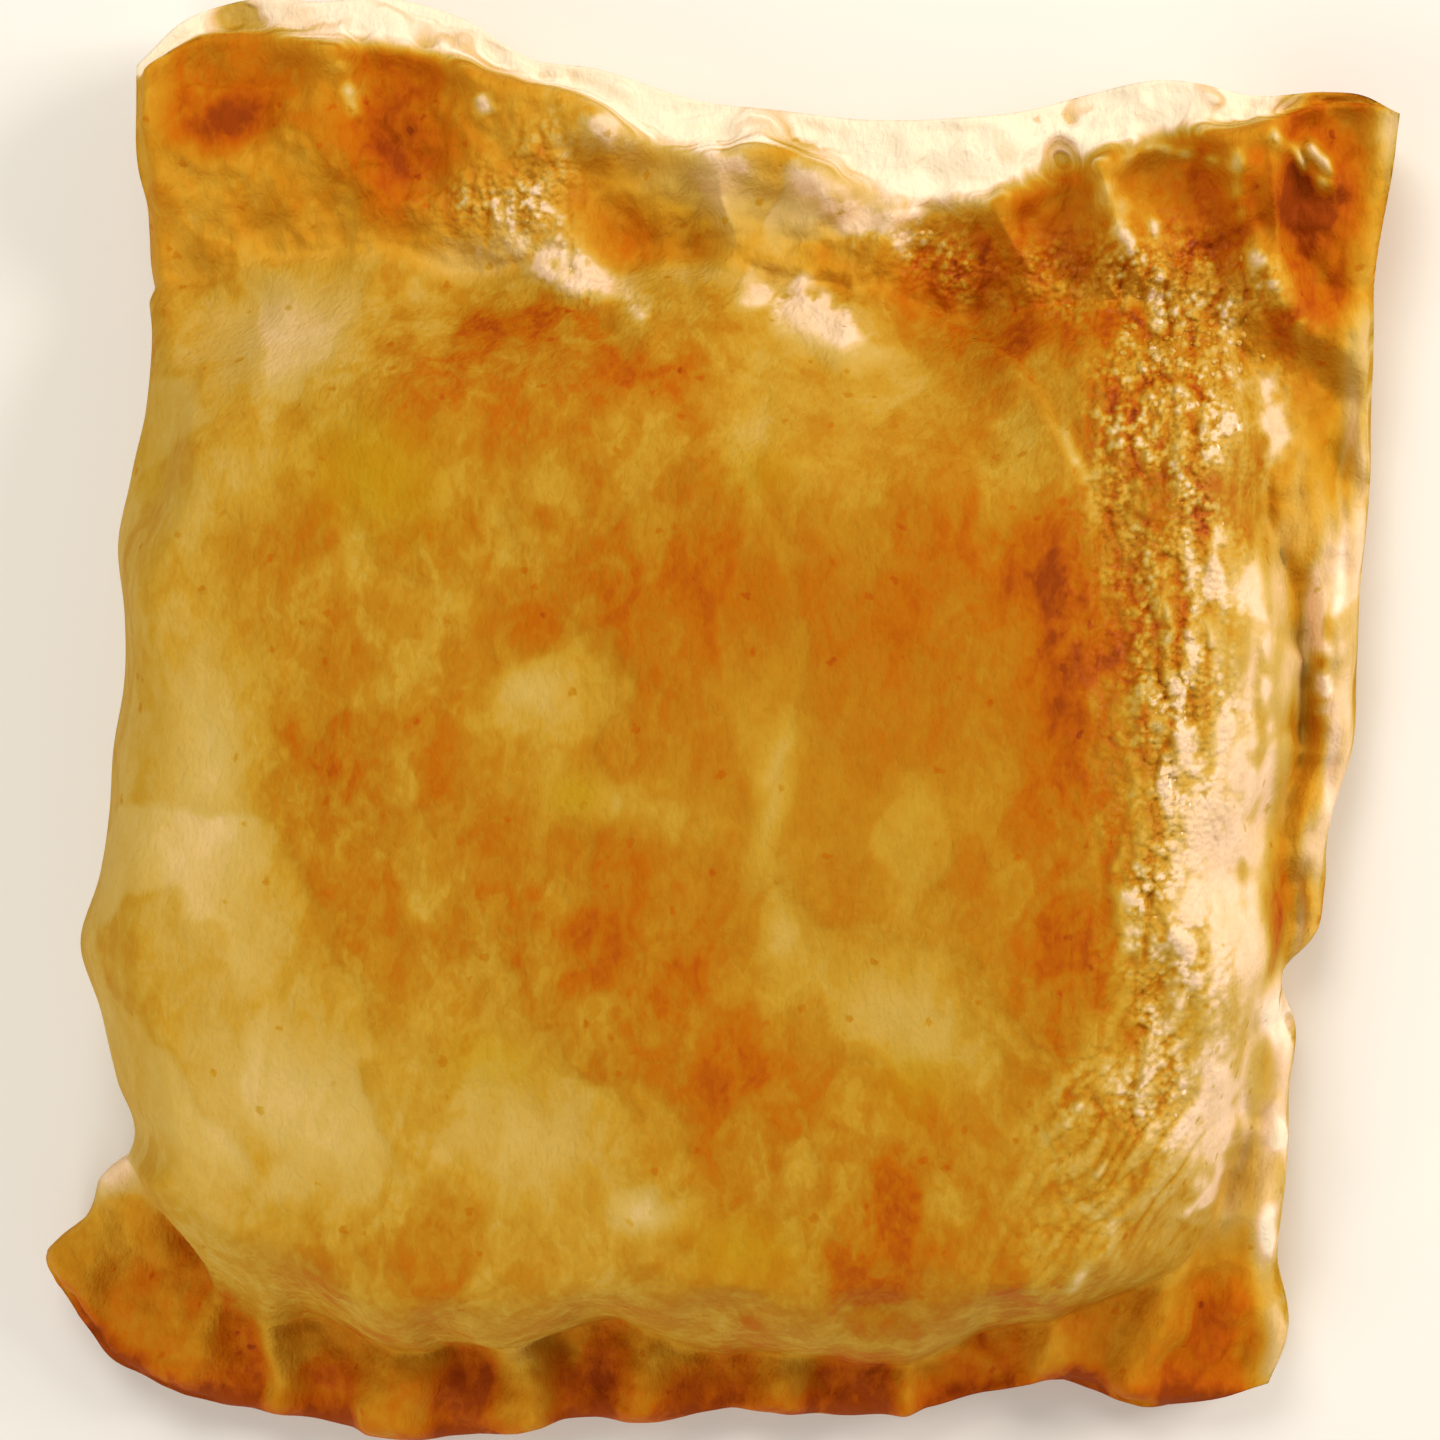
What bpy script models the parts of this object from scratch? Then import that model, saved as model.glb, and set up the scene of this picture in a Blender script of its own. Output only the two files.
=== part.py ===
# Steak pie: a squarish hand-held pie of puff pastry, one solid piece.
# One sheet is folded over a mound of filling. The fold is the left side (-X), and the
# other three sides are pressed into a crimped rim. The pie lies on its flat base,
# browned face up, with its origin in the middle of the base. Sizes are in metres.
import bmesh
import bpy
import numpy as np

MM = 0.001

# Driving dimensions
CROWN_HEIGHT = 29 * MM  # top of the filled pocket above the base
FACE_BOW = 3.4 * MM  # how much higher the face is in the middle than at its sides
RIM_HEIGHT = 8.8 * MM  # crimped rim, on top of a rib
TOP_RIM_RISE = 5.6 * MM  # the rim of the top side is that much thicker
TOP_RIM_REACH = (34.0, 54.0)  # mm along Y, where that rise starts and where it is full
FOLD_REACH = 1.8 * MM  # the fold's round is cut off that far outside the outline
FLANK_WANDER = {"height": 1.1 * MM, "lengths": (41 * MM, 24 * MM, 15 * MM), "seed": 5}
STRAIGHT_FOLD = 8.0  # mm, the flanks don't wander this near to the fold
CORNER_POWER = 3.4  # higher: squarer pocket corners
JOIN_ROUND = 1.6 * MM  # fillet between the pocket and the rim
FOOT_DROP = 4.8  # mm, how far the pocket's surface dips under the rim at its foot
FOOT_SHARE = 0.12  # share of the flank over which it does so
RIB_PUFF = 0.8 * MM  # how far the pastry between two crimps has risen
RIB_SLOPE = 3.0  # mm, width over which it rises
FACE_LUMPS = {"height": 0.3 * MM, "lengths": (58 * MM, 37 * MM, 23 * MM, 13 * MM), "seed": 21}
LUMP_FALLOFF = 0.7  # how fast shorter waves get lower
WAVES_CROSSING = 5  # directions for each wavelength of the lumps
RIM_LUMPS = {"height": 0.4 * MM, "lengths": (19 * MM, 11 * MM, 7 * MM), "seed": 3}

HALF_SIDE = 60.0  # mm, half of the nominal square

# Flanks of the pocket: width from the foot up to the face, and how late each one falls
FLANKS = {
    "left": (9.5 * MM, 2.2),
    "right": (13 * MM, 1.8),
    "bottom": (11.5 * MM, 2.1),
    "top": (19 * MM, 1.7),
}

# Height of the crust's outer edge and width of the slope up from it, on each side.
# The top side's slope is uneven, so its width is a line of its own below.
EDGE_HEIGHT = {"left": 4.6 * MM, "right": 4.4 * MM, "bottom": 4.4 * MM, "top": 3.0 * MM}
EDGE_SLOPE = {"left": 1.8 * MM, "right": 2.4 * MM, "bottom": 1.7 * MM}
LIP_SHARE = 0.42  # of the top side's slope: the lower sheet, which sticks out as a lip
BROW_STARTS = 0.34  # share of the slope where the upper sheet's edge rises from the lip
BROW_HEIGHT = 0.5 * MM  # raised line along the upper sheet's edge
BROW_INSET = 0.6  # mm, from the top of the slope to that line
BROW_HALF_WIDTH = 1.0  # mm

# Underside, ring by ring: (share of the edge's height, inset of the ring)
UNDERSIDE_RINGS = ((0.52, -0.25 * MM), (0.16, 0.9 * MM), (0.0, 3.2 * MM))

# Outline, seen from above, as smooth lines through (along, across) in mm.
# Left and right run along Y, bottom and top run along X.
LEFT_EDGE = ((-60, -61.0), (-56, -62.9), (-52, -59.2), (-48, -58.1), (-44, -53.8), (-38, -55.4),
             (-32, -57.3), (-25, -59.8), (-18, -58.4), (-12, -57.8), (-6, -57.9), (0, -57.3),
             (7, -57.7), (14, -58.9), (21, -58.1), (27, -57.2), (34, -57.3), (40, -59.0),
             (45, -59.3), (47, -59.3), (50, -59.9), (60, -60.7))
RIGHT_EDGE = ((-60, 57.1), (-54, 58.5), (-48, 57.0), (-43, 57.0), (-37, 57.1), (-31, 56.7),
              (-26, 56.9), (-21, 55.0), (-16, 58.1), (-13, 58.4), (-7, 58.2), (2, 59.9),
              (10, 59.5), (18, 59.3), (26, 59.4), (36, 58.7), (46, 57.9), (54, 58.4), (60, 58.6))
BOTTOM_EDGE = ((-60, -60.8), (-56, -66.4), (-50, -68.8), (-44, -70.7), (-38, -70.8), (-31, -71.8),
               (-23, -72.1), (-16, -70.9), (-8, -68.7), (0, -67.9), (9, -66.0), (18, -66.0),
               (28, -63.8), (33, -62.0), (38, -60.3), (44, -61.3), (50, -61.9), (56, -60.5),
               (60, -58.6))
TOP_EDGE = ((-60, 59.1), (-56, 63.3), (-49, 66.3), (-43, 66.3), (-36, 67.1), (-29, 65.7),
            (-22, 62.3), (-16, 61.8), (-6, 59.5), (3, 59.0), (12, 58.8), (26, 60.8), (32, 62.9),
            (37, 64.1), (48, 63.4), (53, 64.3), (57, 64.1), (60, 62.6))
TOP_SLOPE = ((-60, 1.2), (-50, 3.6), (-28, 5.0), (-20, 2.8), (-12, 5.8), (3, 4.4),
             (13, 8.6), (29, 7.2), (42, 4.8), (49, 1.6), (60, 1.4))

# Foot of the pocket's flank, where it meets the rim
TOP_CREASE = ((-60, 39.4), (-45, 41.8), (-19, 43.6), (2, 44.2), (13, 42.2), (24, 41.8),
              (36, 42.6), (48, 40.0), (60, 36.0))
BOTTOM_CREASE = ((-60, -43.0), (-54, -48.0), (-49, -55.6), (-42, -60.0), (-34, -61.8),
                 (-21, -62.6), (4, -60.8), (18, -58.0), (30, -56.4), (42, -54.8), (54, -48.0))
RIGHT_CREASE = ((-60, 47.0), (-46, 51.2), (-36, 53.0), (-8, 54.0), (8, 53.0), (22, 51.8),
                (36, 50.4), (48, 46.0))

# Crimps pressed into the rim: (middle along the side, width, length, depth, lean) in mm.
# Each is a round-ended dent that leans sideways by "lean". Those of the top side end at its
# brow, and those of the bottom side open at the crust's edge.
TOP_CRIMPS = ((-52.0, 10.0, 10.0, 1.9, 0.0), (-34.0, 9.6, 11.5, 3.0, 1.0), (-10.5, 12.0, 9.5, 2.9, 1.5),
              (4.5, 5.4, 7.0, 1.6, 3.0), (18.0, 9.0, 5.5, 1.9, 0.0), (28.6, 5.2, 9.5, 2.8, 1.5),
              (40.4, 8.4, 11.0, 3.2, 2.0), (53.6, 8.2, 19.0, 3.6, 1.0))
BOTTOM_CRIMPS = ((-53.5, 8.0, 11.6, 2.2, 4.0), (-43.6, 5.4, 13.5, 2.6, 0.0), (-33.7, 6.6, 13.1, 2.8, 0.0),
                 (-20.9, 6.3, 13.6, 3.0, 0.0), (-8.5, 6.2, 11.8, 3.0, 0.0), (4.2, 7.0, 11.4, 3.0, 0.5),
                 (17.3, 7.0, 12.8, 2.8, 2.0), (29.3, 7.0, 11.2, 2.8, 2.0), (39.6, 5.8, 8.6, 2.2, 1.0),
                 (51.8, 8.2, 12.6, 3.2, 1.0))
# Those of the right side are closed dents along the edge: (middle along the side,
# distance in from the edge, width, length, depth) in mm
RIGHT_CRIMPS = ((31.9, 4.0, 4.6, 12.0, 2.4), (16.6, 6.2, 3.8, 7.4, 2.6), (6.4, 6.2, 4.6, 8.0, 2.6),
                (-1.4, 6.6, 4.2, 6.4, 2.0), (-14.1, 2.6, 4.6, 10.4, 2.4), (-28.7, 4.0, 3.8, 10.4, 2.6),
                (-37.9, 3.8, 4.0, 8.4, 2.8), (-48.4, 4.8, 5.0, 7.0, 2.4))
CRIMP_SOFTNESS = {"top": 2.3, "bottom": 1.8, "right": 1.9}  # mm, half-width of a crimp's wall
CRIMP_START = 2.0  # mm, how far outside the edge the bottom side's crimps begin
CRIMP_OVER_BROW = 0.6  # mm, how far the top side's crimps reach over its brow
SHORTEST_CRIMP = 0.5  # mm, least distance between the centres of a crimp's two round ends
CRIMP_FADE = 0.35  # share of the depth lost towards the crimp's inner end
CRIMP_WARP = {"height": 0.8 * MM, "lengths": (17 * MM, 9 * MM), "seed": 12}  # sideways wander

# Raised folds, flakes and ribs: (height, half-width, points along the top of it) in mm
RIDGE_BLUNTNESS = 4  # higher: each one keeps its height nearer to its ends
RIDGES = {
    "rib_by_left_corner": (1.0, 1.2, ((-39.7, 60.6), (-38.3, 55.8), (-37.1, 51.0))),
    "rib_left_of_middle": (1.0, 1.6, ((-18.5, 58.1), (-14.8, 54.0), (-16.0, 47.9))),
    "slanting_rib": (1.9, 2.1, ((-4.0, 57.5), (2.5, 53.9), (9.4, 50.2))),
    "rib_right_of_middle": (1.5, 1.6, ((30.2, 56.2), (33.7, 50.2), (36.9, 44.3))),
    "rib_by_right_corner": (1.7, 1.7, ((43.8, 59.3), (45.1, 51.3), (48.8, 45.4), (52.4, 40.2))),
    "curled_corner_flap": (1.8, 1.5, ((46.7, 59.7), (50.9, 58.6), (54.7, 54.5))),
    "lifted_flake": (0.6, 1.0, ((-19.1, 44.1), (-8.4, 44.9), (7.2, 44.1), (13.0, 42.1))),
    "torn_flake": (0.5, 1.2, ((-23.2, 42.9), (-14.9, 40.2), (-9.1, 37.3), (-9.3, 34.3))),
    "pale_flake": (0.9, 2.6, ((3.5, 42.4), (8.9, 39.3), (10.5, 34.9))),
    "bridge_on_flank": (1.2, 2.2, ((43.1, 19.9), (47.6, 19.0))),
    "arch_over_hollow": (0.6, 1.0, ((39.6, -15.8), (42.6, -14.5), (45.2, -16.0))),
    "long_flank_fold": (0.8, 1.6, ((46.5, 5.5), (47.8, -9.8), (47.3, -26.7))),
    "upper_edge_layer": (0.9, 0.9, ((56.1, 25.4), (55.7, 16.7), (56.5, 6.9), (56.8, 0.0))),
    "lower_edge_bump": (1.0, 1.8, ((54.5, -18.9), (54.9, -23.3))),
    "blister_rim": (0.35, 1.5, ((-5.0, -39.9), (-0.8, -41.0), (3.5, -39.2))),
}

# Hollows: (depth, half-width along X, half-width along Y, middle) in mm
HOLLOWS = {
    "hollow_on_flank": (1.8, 3.4, 4.8, (42.5, -20.3)),
    "corner_hollow": (1.4, 4.2, 3.4, (51.0, 46.4)),
    "dip_below_flake": (0.9, 7.0, 3.0, (-12.4, 35.3)),
    "dip_right_of_face": (0.7, 3.2, 12.0, (36.5, 24.2)),
    "soft_dip_low": (0.8, 10.0, 6.0, (22.7, -29.8)),
}

# Upright wrinkles on the blistered right shoulder
WRINKLES = {"height": 0.26, "pitch": 3.3, "middle": (41.0, 15.0), "half_width": 6.0, "half_length": 27.0}
WRINKLE_WANDER = {"height": 1.3 * MM, "lengths": (19 * MM, 8 * MM, 5 * MM), "seed": 8}

# The face ends in a low step along this line, towards the upper right flank
FACE_STEP = ((15.9, 41.7), (23.6, 37.8), (29.3, 30.0), (32.4, 24.2), (34.3, 9.4))
FACE_STEP_HEIGHT = 1.2
FACE_STEP_WIDTH = 1.4
FACE_STEP_REACH = 7.0
FACE_STEP_ENDS = ((4, 14), (40, 46))  # along Y, where it fades in and out

# Mesh: cells of the sheet before it is thinned, and the share of faces that is kept.
# Thinning leaves the outline alone.
SHEET_CELLS = (100, 106)
KEPT_FACES = 0.45
THINNED = "thinned"

# Finish
CRUST_COLOUR = (0.60, 0.30, 0.055, 1.0)
CRUST_ROUGHNESS = 0.42


def through(knots, along):
    """Height at "along" of the smooth line through the knots."""
    at, value = np.array(knots, dtype=float).T
    slope = np.gradient(value, at)
    along = np.clip(along, at[0], at[-1])
    first = np.clip(np.searchsorted(at, along) - 1, 0, len(at) - 2)
    span = at[first + 1] - at[first]
    t = (along - at[first]) / span
    ends = (1 + 2 * t) * (1 - t) ** 2 * value[first] + (3 - 2 * t) * t**2 * value[first + 1]
    pulls = t * (1 - t) ** 2 * slope[first] + (t - 1) * t**2 * slope[first + 1]
    return ends + pulls * span


def smooth_step(low, high, value):
    t = np.clip((value - low) / (high - low), 0, 1)
    return t * t * (3 - 2 * t)


def smooth_max(a, b, rounding):
    """The higher of two surfaces, with a fillet where they cross."""
    blend = np.clip(0.5 + 0.5 * (a - b) / rounding, 0, 1)
    return b + (a - b) * blend + rounding * blend * (1 - blend)


def distance_to_line(x, y, points):
    """Distance from each (x, y) to the open line through the points, and where along it."""
    nearest = np.full(np.shape(x), np.inf)
    share = np.zeros(np.shape(x))
    for i, ((x0, y0), (x1, y1)) in enumerate(zip(points[:-1], points[1:])):
        along_x, along_y = x1 - x0, y1 - y0
        length2 = along_x**2 + along_y**2
        t = np.clip(((x - x0) * along_x + (y - y0) * along_y) / length2, 0, 1)
        away = np.hypot(x - x0 - t * along_x, y - y0 - t * along_y)
        share = np.where(away < nearest, (i + t) / (len(points) - 1), share)
        nearest = np.minimum(nearest, away)
    return nearest, share


def outline(across, up):
    """Spreads the square (-1..1, -1..1) over the pie's outline, in mm."""
    nominal_x, nominal_y = HALF_SIDE * across, HALF_SIDE * up
    left, right = through(LEFT_EDGE, nominal_y), through(RIGHT_EDGE, nominal_y)
    bottom, top = through(BOTTOM_EDGE, nominal_x), through(TOP_EDGE, nominal_x)
    x = left + (right - left) * (across + 1) / 2
    y = bottom + (top - bottom) * (up + 1) / 2
    return x, y


def inward_distances(x, y, right, bottom, top):
    """Distance in from the fold and from a line along each of the other three sides."""
    return {
        "left": x - through(LEFT_EDGE, y),
        "right": through(right, y) - x,
        "bottom": y - through(bottom, x),
        "top": through(top, x) - y,
    }


def rim_level(x, y):
    rise = TOP_RIM_RISE / MM * smooth_step(*TOP_RIM_REACH, y)
    return RIM_HEIGHT / MM + rise + lumps(x, y, RIM_LUMPS)


def pocket(x, y):
    """Share of the pocket's rise above the rim: 1 on the face, 0 at the foot of its flanks."""
    inward = inward_distances(x, y, RIGHT_CREASE, BOTTOM_CREASE, TOP_CREASE)
    inward["left"] = inward["left"] + FOLD_REACH / MM
    wander = lumps(x, y, FLANK_WANDER) * smooth_step(0, STRAIGHT_FOLD, inward["left"])
    fall = np.zeros(np.shape(x))
    for side, (width, lateness) in FLANKS.items():
        near = np.clip(1 - (inward[side] + wander) * MM / width, 0, None)
        fall += near ** (lateness * CORNER_POWER)
    return np.clip(1 - fall ** (1 / CORNER_POWER), 0, 1)


def lumps(x, y, kind):
    """Low waves, in a few crossing directions for each wavelength."""
    rng = np.random.default_rng(kind["seed"])
    total = np.zeros(np.shape(x))
    for length in kind["lengths"]:
        for turn in rng.uniform(0, np.pi, WAVES_CROSSING):
            phase = rng.uniform(0, 2 * np.pi)
            wave = (x * np.cos(turn) + y * np.sin(turn)) * MM / length
            total += np.sin(2 * np.pi * wave + phase) * (length / kind["lengths"][0]) ** LUMP_FALLOFF
    return kind["height"] / MM * total / 2


def crimp_slots():
    """Each crimp as (outer end, inner end, half-width, depth, softness)."""
    soft = CRIMP_SOFTNESS
    for middle, width, length, depth, lean in TOP_CRIMPS:
        brow = through(TOP_EDGE, middle) - through(TOP_SLOPE, middle)
        outer = brow - width / 2 + CRIMP_OVER_BROW
        inner = min(brow - length + width / 2, outer - SHORTEST_CRIMP)
        yield (middle - lean, outer), (middle + lean, inner), width / 2, depth, soft["top"]
    for middle, width, length, depth, lean in BOTTOM_CRIMPS:
        edge = through(BOTTOM_EDGE, middle)
        inner = edge + length - width / 2
        yield (middle - lean, edge - CRIMP_START), (middle + lean, inner), width / 2, depth, soft["bottom"]
    for middle, inset, width, length, depth in RIGHT_CRIMPS:
        half = (length - width) / 2
        upper, lower = middle + half, middle - half
        upper_end = through(RIGHT_EDGE, upper) - inset, upper
        lower_end = through(RIGHT_EDGE, lower) - inset, lower
        yield lower_end, upper_end, width / 2, depth, soft["right"]


def crimps(x, y):
    """How far the crimps are pressed in, and how far the rim is puffed up between them."""
    x = x + lumps(x, y, CRIMP_WARP)
    y = y + lumps(y, x, CRIMP_WARP)
    pressed = np.zeros(np.shape(x))
    gap = np.full(np.shape(x), np.inf)
    for outer, inner, half_width, depth, soft in crimp_slots():
        away, share = distance_to_line(x, y, (outer, inner))
        floor = 1 - smooth_step(half_width - soft, half_width + soft, away)
        pressed = np.maximum(pressed, depth * floor * (1 - CRIMP_FADE * share))
        gap = np.minimum(gap, away - half_width)
    return pressed, RIB_PUFF / MM * smooth_step(0, RIB_SLOPE, gap)


def edge_rise(side, share):
    """Share of the rim's height reached at a share of the edge's slope."""
    rounded = np.sqrt(1 - (1 - share) ** 2)
    if side != "top":
        return rounded
    lip = np.sqrt(1 - (1 - np.clip(share / LIP_SHARE, 0, 1)) ** 2)
    return LIP_SHARE * lip + (1 - LIP_SHARE) * smooth_step(BROW_STARTS, 1, share)


def rim(x, y, level):
    """Height of the rim: level inside, and sloping down to the outer edge."""
    height = level
    brow = through(TOP_EDGE, x) - through(TOP_SLOPE, x) - y
    height = height + BROW_HEIGHT / MM * np.exp(-(((brow - BROW_INSET) / BROW_HALF_WIDTH) ** 2))
    for side, distance in inward_distances(x, y, RIGHT_EDGE, BOTTOM_EDGE, TOP_EDGE).items():
        width = through(TOP_SLOPE, x) if side == "top" else EDGE_SLOPE[side] / MM
        edge = np.minimum(EDGE_HEIGHT[side] / MM, level)
        rise = edge_rise(side, np.clip(distance / width, 0, 1))
        height = np.minimum(height, edge + (height - edge) * rise)
    return height


def ridges(x, y):
    raised = np.zeros(np.shape(x))
    for height, half_width, points in RIDGES.values():
        away, share = distance_to_line(x, y, points)
        tapered = height * (1 - (2 * share - 1) ** RIDGE_BLUNTNESS)
        raised = np.maximum(raised, tapered * np.exp(-((away / half_width) ** 2)))
    return raised


def hollows(x, y):
    sunk = np.zeros(np.shape(x))
    for depth, half_x, half_y, (middle_x, middle_y) in HOLLOWS.values():
        away = ((x - middle_x) / half_x) ** 2 + ((y - middle_y) / half_y) ** 2
        sunk += depth * np.exp(-away)
    return sunk


def face_step(x, y):
    """The step down from the face: full at the line, gone a few millimetres outside it."""
    away, _ = distance_to_line(x, y, FACE_STEP)
    line_x = through([(py, px) for px, py in reversed(FACE_STEP)], y)
    outside = smooth_step(-FACE_STEP_WIDTH / 2, FACE_STEP_WIDTH / 2, x - line_x)
    fade_in, fade_out = FACE_STEP_ENDS
    window = smooth_step(*fade_in, y) * (1 - smooth_step(*fade_out, y))
    return FACE_STEP_HEIGHT * outside * np.exp(-((away / FACE_STEP_REACH) ** 2)) * window


def wrinkles(x, y):
    """Upright wrinkles that wander, strongest in the middle of the shoulder."""
    middle_x, middle_y = WRINKLES["middle"]
    window = np.exp(-(((x - middle_x) / WRINKLES["half_width"]) ** 2))
    window = window * np.exp(-(((y - middle_y) / WRINKLES["half_length"]) ** 2))
    wander = lumps(x, y, WRINKLE_WANDER)
    return WRINKLES["height"] * window * np.sin(2 * np.pi * (x + wander) / WRINKLES["pitch"])


def crust_height(x, y):
    """Height of the crust above the base at (x, y), all in mm."""
    level = rim_level(x, y)
    share = pocket(x, y)
    pressed, puffed = crimps(x, y)
    bow = FACE_BOW / MM * (x**2 + y**2) / HALF_SIDE**2
    face = CROWN_HEIGHT / MM - bow + lumps(x, y, FACE_LUMPS)
    foot = FOOT_DROP * (1 - smooth_step(0, FOOT_SHARE, share))
    raised = level + (face - level) * share - pressed - foot
    body = smooth_max(raised, rim(x, y, level - pressed + puffed), JOIN_ROUND / MM)
    return body + ridges(x, y) + wrinkles(x, y) - hollows(x, y) - face_step(x, y)


def outward_directions(loop):
    """Unit directions, level and away from the pie, at the points of its edge loop."""
    ahead = np.roll(loop, -1, axis=0) - np.roll(loop, 1, axis=0)
    out = np.stack([ahead[:, 1], -ahead[:, 0]], axis=1)
    return out / np.linalg.norm(out, axis=1)[:, None]


def ordered_edge(bm):
    """The vertices round the sheet's open edge, counter-clockwise from above."""
    start = min((v for v in bm.verts if v.is_boundary), key=lambda v: (v.co.y, v.co.x))
    loop, last = [start], None
    while True:
        here = loop[-1]
        ways = [e.other_vert(here) for e in here.link_edges if e.is_boundary]
        ways = [v for v in ways if v is not last]
        following = max(ways, key=lambda v: v.co.x) if last is None else ways[0]
        if following is start:
            return loop
        last = here
        loop.append(following)


def add_underside(bm):
    """Turns the sheet's edge down and in, ring by ring, and closes the flat base."""
    edge_loop = ordered_edge(bm)
    edge = np.array([v.co[:] for v in edge_loop])
    out = outward_directions(edge[:, :2])
    ring = edge_loop
    for share, inset in UNDERSIDE_RINGS:
        points = np.column_stack([edge[:, :2] - out * inset, edge[:, 2] * share])
        lower = [bm.verts.new(point) for point in points]
        for i, vert in enumerate(ring):
            j = (i + 1) % len(ring)
            bm.faces.new((vert, lower[i], lower[j], ring[j]))
        ring = lower
    bm.faces.new(reversed(ring))


def centre_on_base(bm):
    corners = np.array([v.co[:] for v in bm.verts])
    low, high = corners.min(axis=0), corners.max(axis=0)
    middle = ((low[0] + high[0]) / 2, (low[1] + high[1]) / 2, low[2])
    bmesh.ops.translate(bm, verts=bm.verts, vec=[-value for value in middle])


def make_crust_mesh():
    """A flat sheet of cells, spread over the outline, raised, and closed below."""
    bm = bmesh.new()
    bmesh.ops.create_grid(bm, x_segments=SHEET_CELLS[0], y_segments=SHEET_CELLS[1], size=1)
    across, up = np.array([v.co[:2] for v in bm.verts]).T
    x, y = outline(across, up)
    z = crust_height(x, y)
    for vert, point in zip(bm.verts, np.column_stack([x, y, z]) * MM):
        vert.co = point
    weights = bm.verts.layers.deform.verify()
    for vert in bm.verts:
        vert[weights][0] = 0.0 if vert.is_boundary else 1.0
    add_underside(bm)
    centre_on_base(bm)
    bmesh.ops.triangulate(bm, faces=bm.faces)
    bmesh.ops.recalc_face_normals(bm, faces=bm.faces)
    mesh = bpy.data.meshes.new("steak_pie")
    bm.to_mesh(mesh)
    bm.free()
    mesh.shade_smooth()
    return mesh


def make_crust_material():
    material = bpy.data.materials.new("baked_crust")
    material.use_nodes = True
    shader = material.node_tree.nodes["Principled BSDF"]
    shader.inputs["Base Color"].default_value = CRUST_COLOUR
    shader.inputs["Roughness"].default_value = CRUST_ROUGHNESS
    shader.inputs["Metallic"].default_value = 0.0
    material.diffuse_color = CRUST_COLOUR
    return material


def thin_mesh(obj):
    """Few, large faces on the smooth face and base, small ones on the crimps."""
    obj.vertex_groups.new(name=THINNED)
    thinning = obj.modifiers.new("thin_smooth_areas", "DECIMATE")
    thinning.ratio = KEPT_FACES
    thinning.vertex_group = THINNED


def main():
    for obj in list(bpy.data.objects):
        bpy.data.objects.remove(obj)
    collection = bpy.data.collections.new("steak_pie")
    bpy.context.scene.collection.children.link(collection)
    pie = bpy.data.objects.new("steak_pie", make_crust_mesh())
    pie.data.materials.append(make_crust_material())
    thin_mesh(pie)
    collection.objects.link(pie)


main()
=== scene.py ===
import math
import bmesh
import bpy
import numpy as np
from mathutils import Matrix, Vector, noise


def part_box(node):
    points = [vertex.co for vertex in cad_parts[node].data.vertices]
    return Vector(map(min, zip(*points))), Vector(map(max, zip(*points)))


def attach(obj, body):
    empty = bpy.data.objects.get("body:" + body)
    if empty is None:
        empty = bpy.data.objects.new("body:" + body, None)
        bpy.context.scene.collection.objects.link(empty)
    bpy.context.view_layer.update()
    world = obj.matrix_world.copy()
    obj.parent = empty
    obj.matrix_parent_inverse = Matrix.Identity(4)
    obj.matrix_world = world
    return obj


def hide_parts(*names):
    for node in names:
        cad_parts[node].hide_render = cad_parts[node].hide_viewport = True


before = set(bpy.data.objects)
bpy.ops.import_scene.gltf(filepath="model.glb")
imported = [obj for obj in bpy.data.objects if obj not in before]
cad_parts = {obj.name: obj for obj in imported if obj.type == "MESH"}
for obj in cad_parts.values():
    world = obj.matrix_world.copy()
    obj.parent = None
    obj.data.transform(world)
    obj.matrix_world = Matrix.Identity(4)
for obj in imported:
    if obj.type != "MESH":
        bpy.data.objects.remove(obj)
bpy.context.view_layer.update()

# A hand-held steak pie in puff pastry. The crust follows the same rules as its solid, in
# finer cells and with small relief. Over the right shoulder and the upper rim lie finer
# sheets of skin with folds and blisters. Shapes are worked out in mm, with x across and y
# up the pie, and go to metres at the end.

node = "steak_pie"
mm = 0.001

# pillow, flanks and rim, with the solid's own numbers
form = {
    "halfSide": 60.0,        # of the square that is bent to the outline
    "crownHeight": 29.0,
    "faceBow": 3.4,          # the face is that much higher in the middle
    "rimHeight": 8.8,
    "topRimRise": 5.6,
    "topRimReach": (34.0, 54.0),
    "foldReach": 1.8,        # the fold's round is cut off that far outside the outline
    "straightFold": 8.0,     # the flanks don't wander this near to the fold
    "cornerPower": 3.4,      # higher: squarer corners
    "joinRound": 1.6,        # fillet between the pocket and the rim
    "foot": (4.8, 0.12),     # dip at the pocket's foot, share of the flank it takes
    "ribPuff": 0.8,
    "ribSlope": 3.0,
    "lipShare": 0.42,        # of the top side's slope
    "brow": (0.34, 0.5, 0.6, 1.0),   # start on the slope, height, inset, half-width
    "crimpStart": 2.0,
    "crimpOverBrow": 0.6,
    "crimpFade": 0.35,       # how much shallower a crimp is at its inner end
    "shortestCrimp": 0.5,
    "middle": (-1.5, -2.53), # of the outline's box
}
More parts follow.
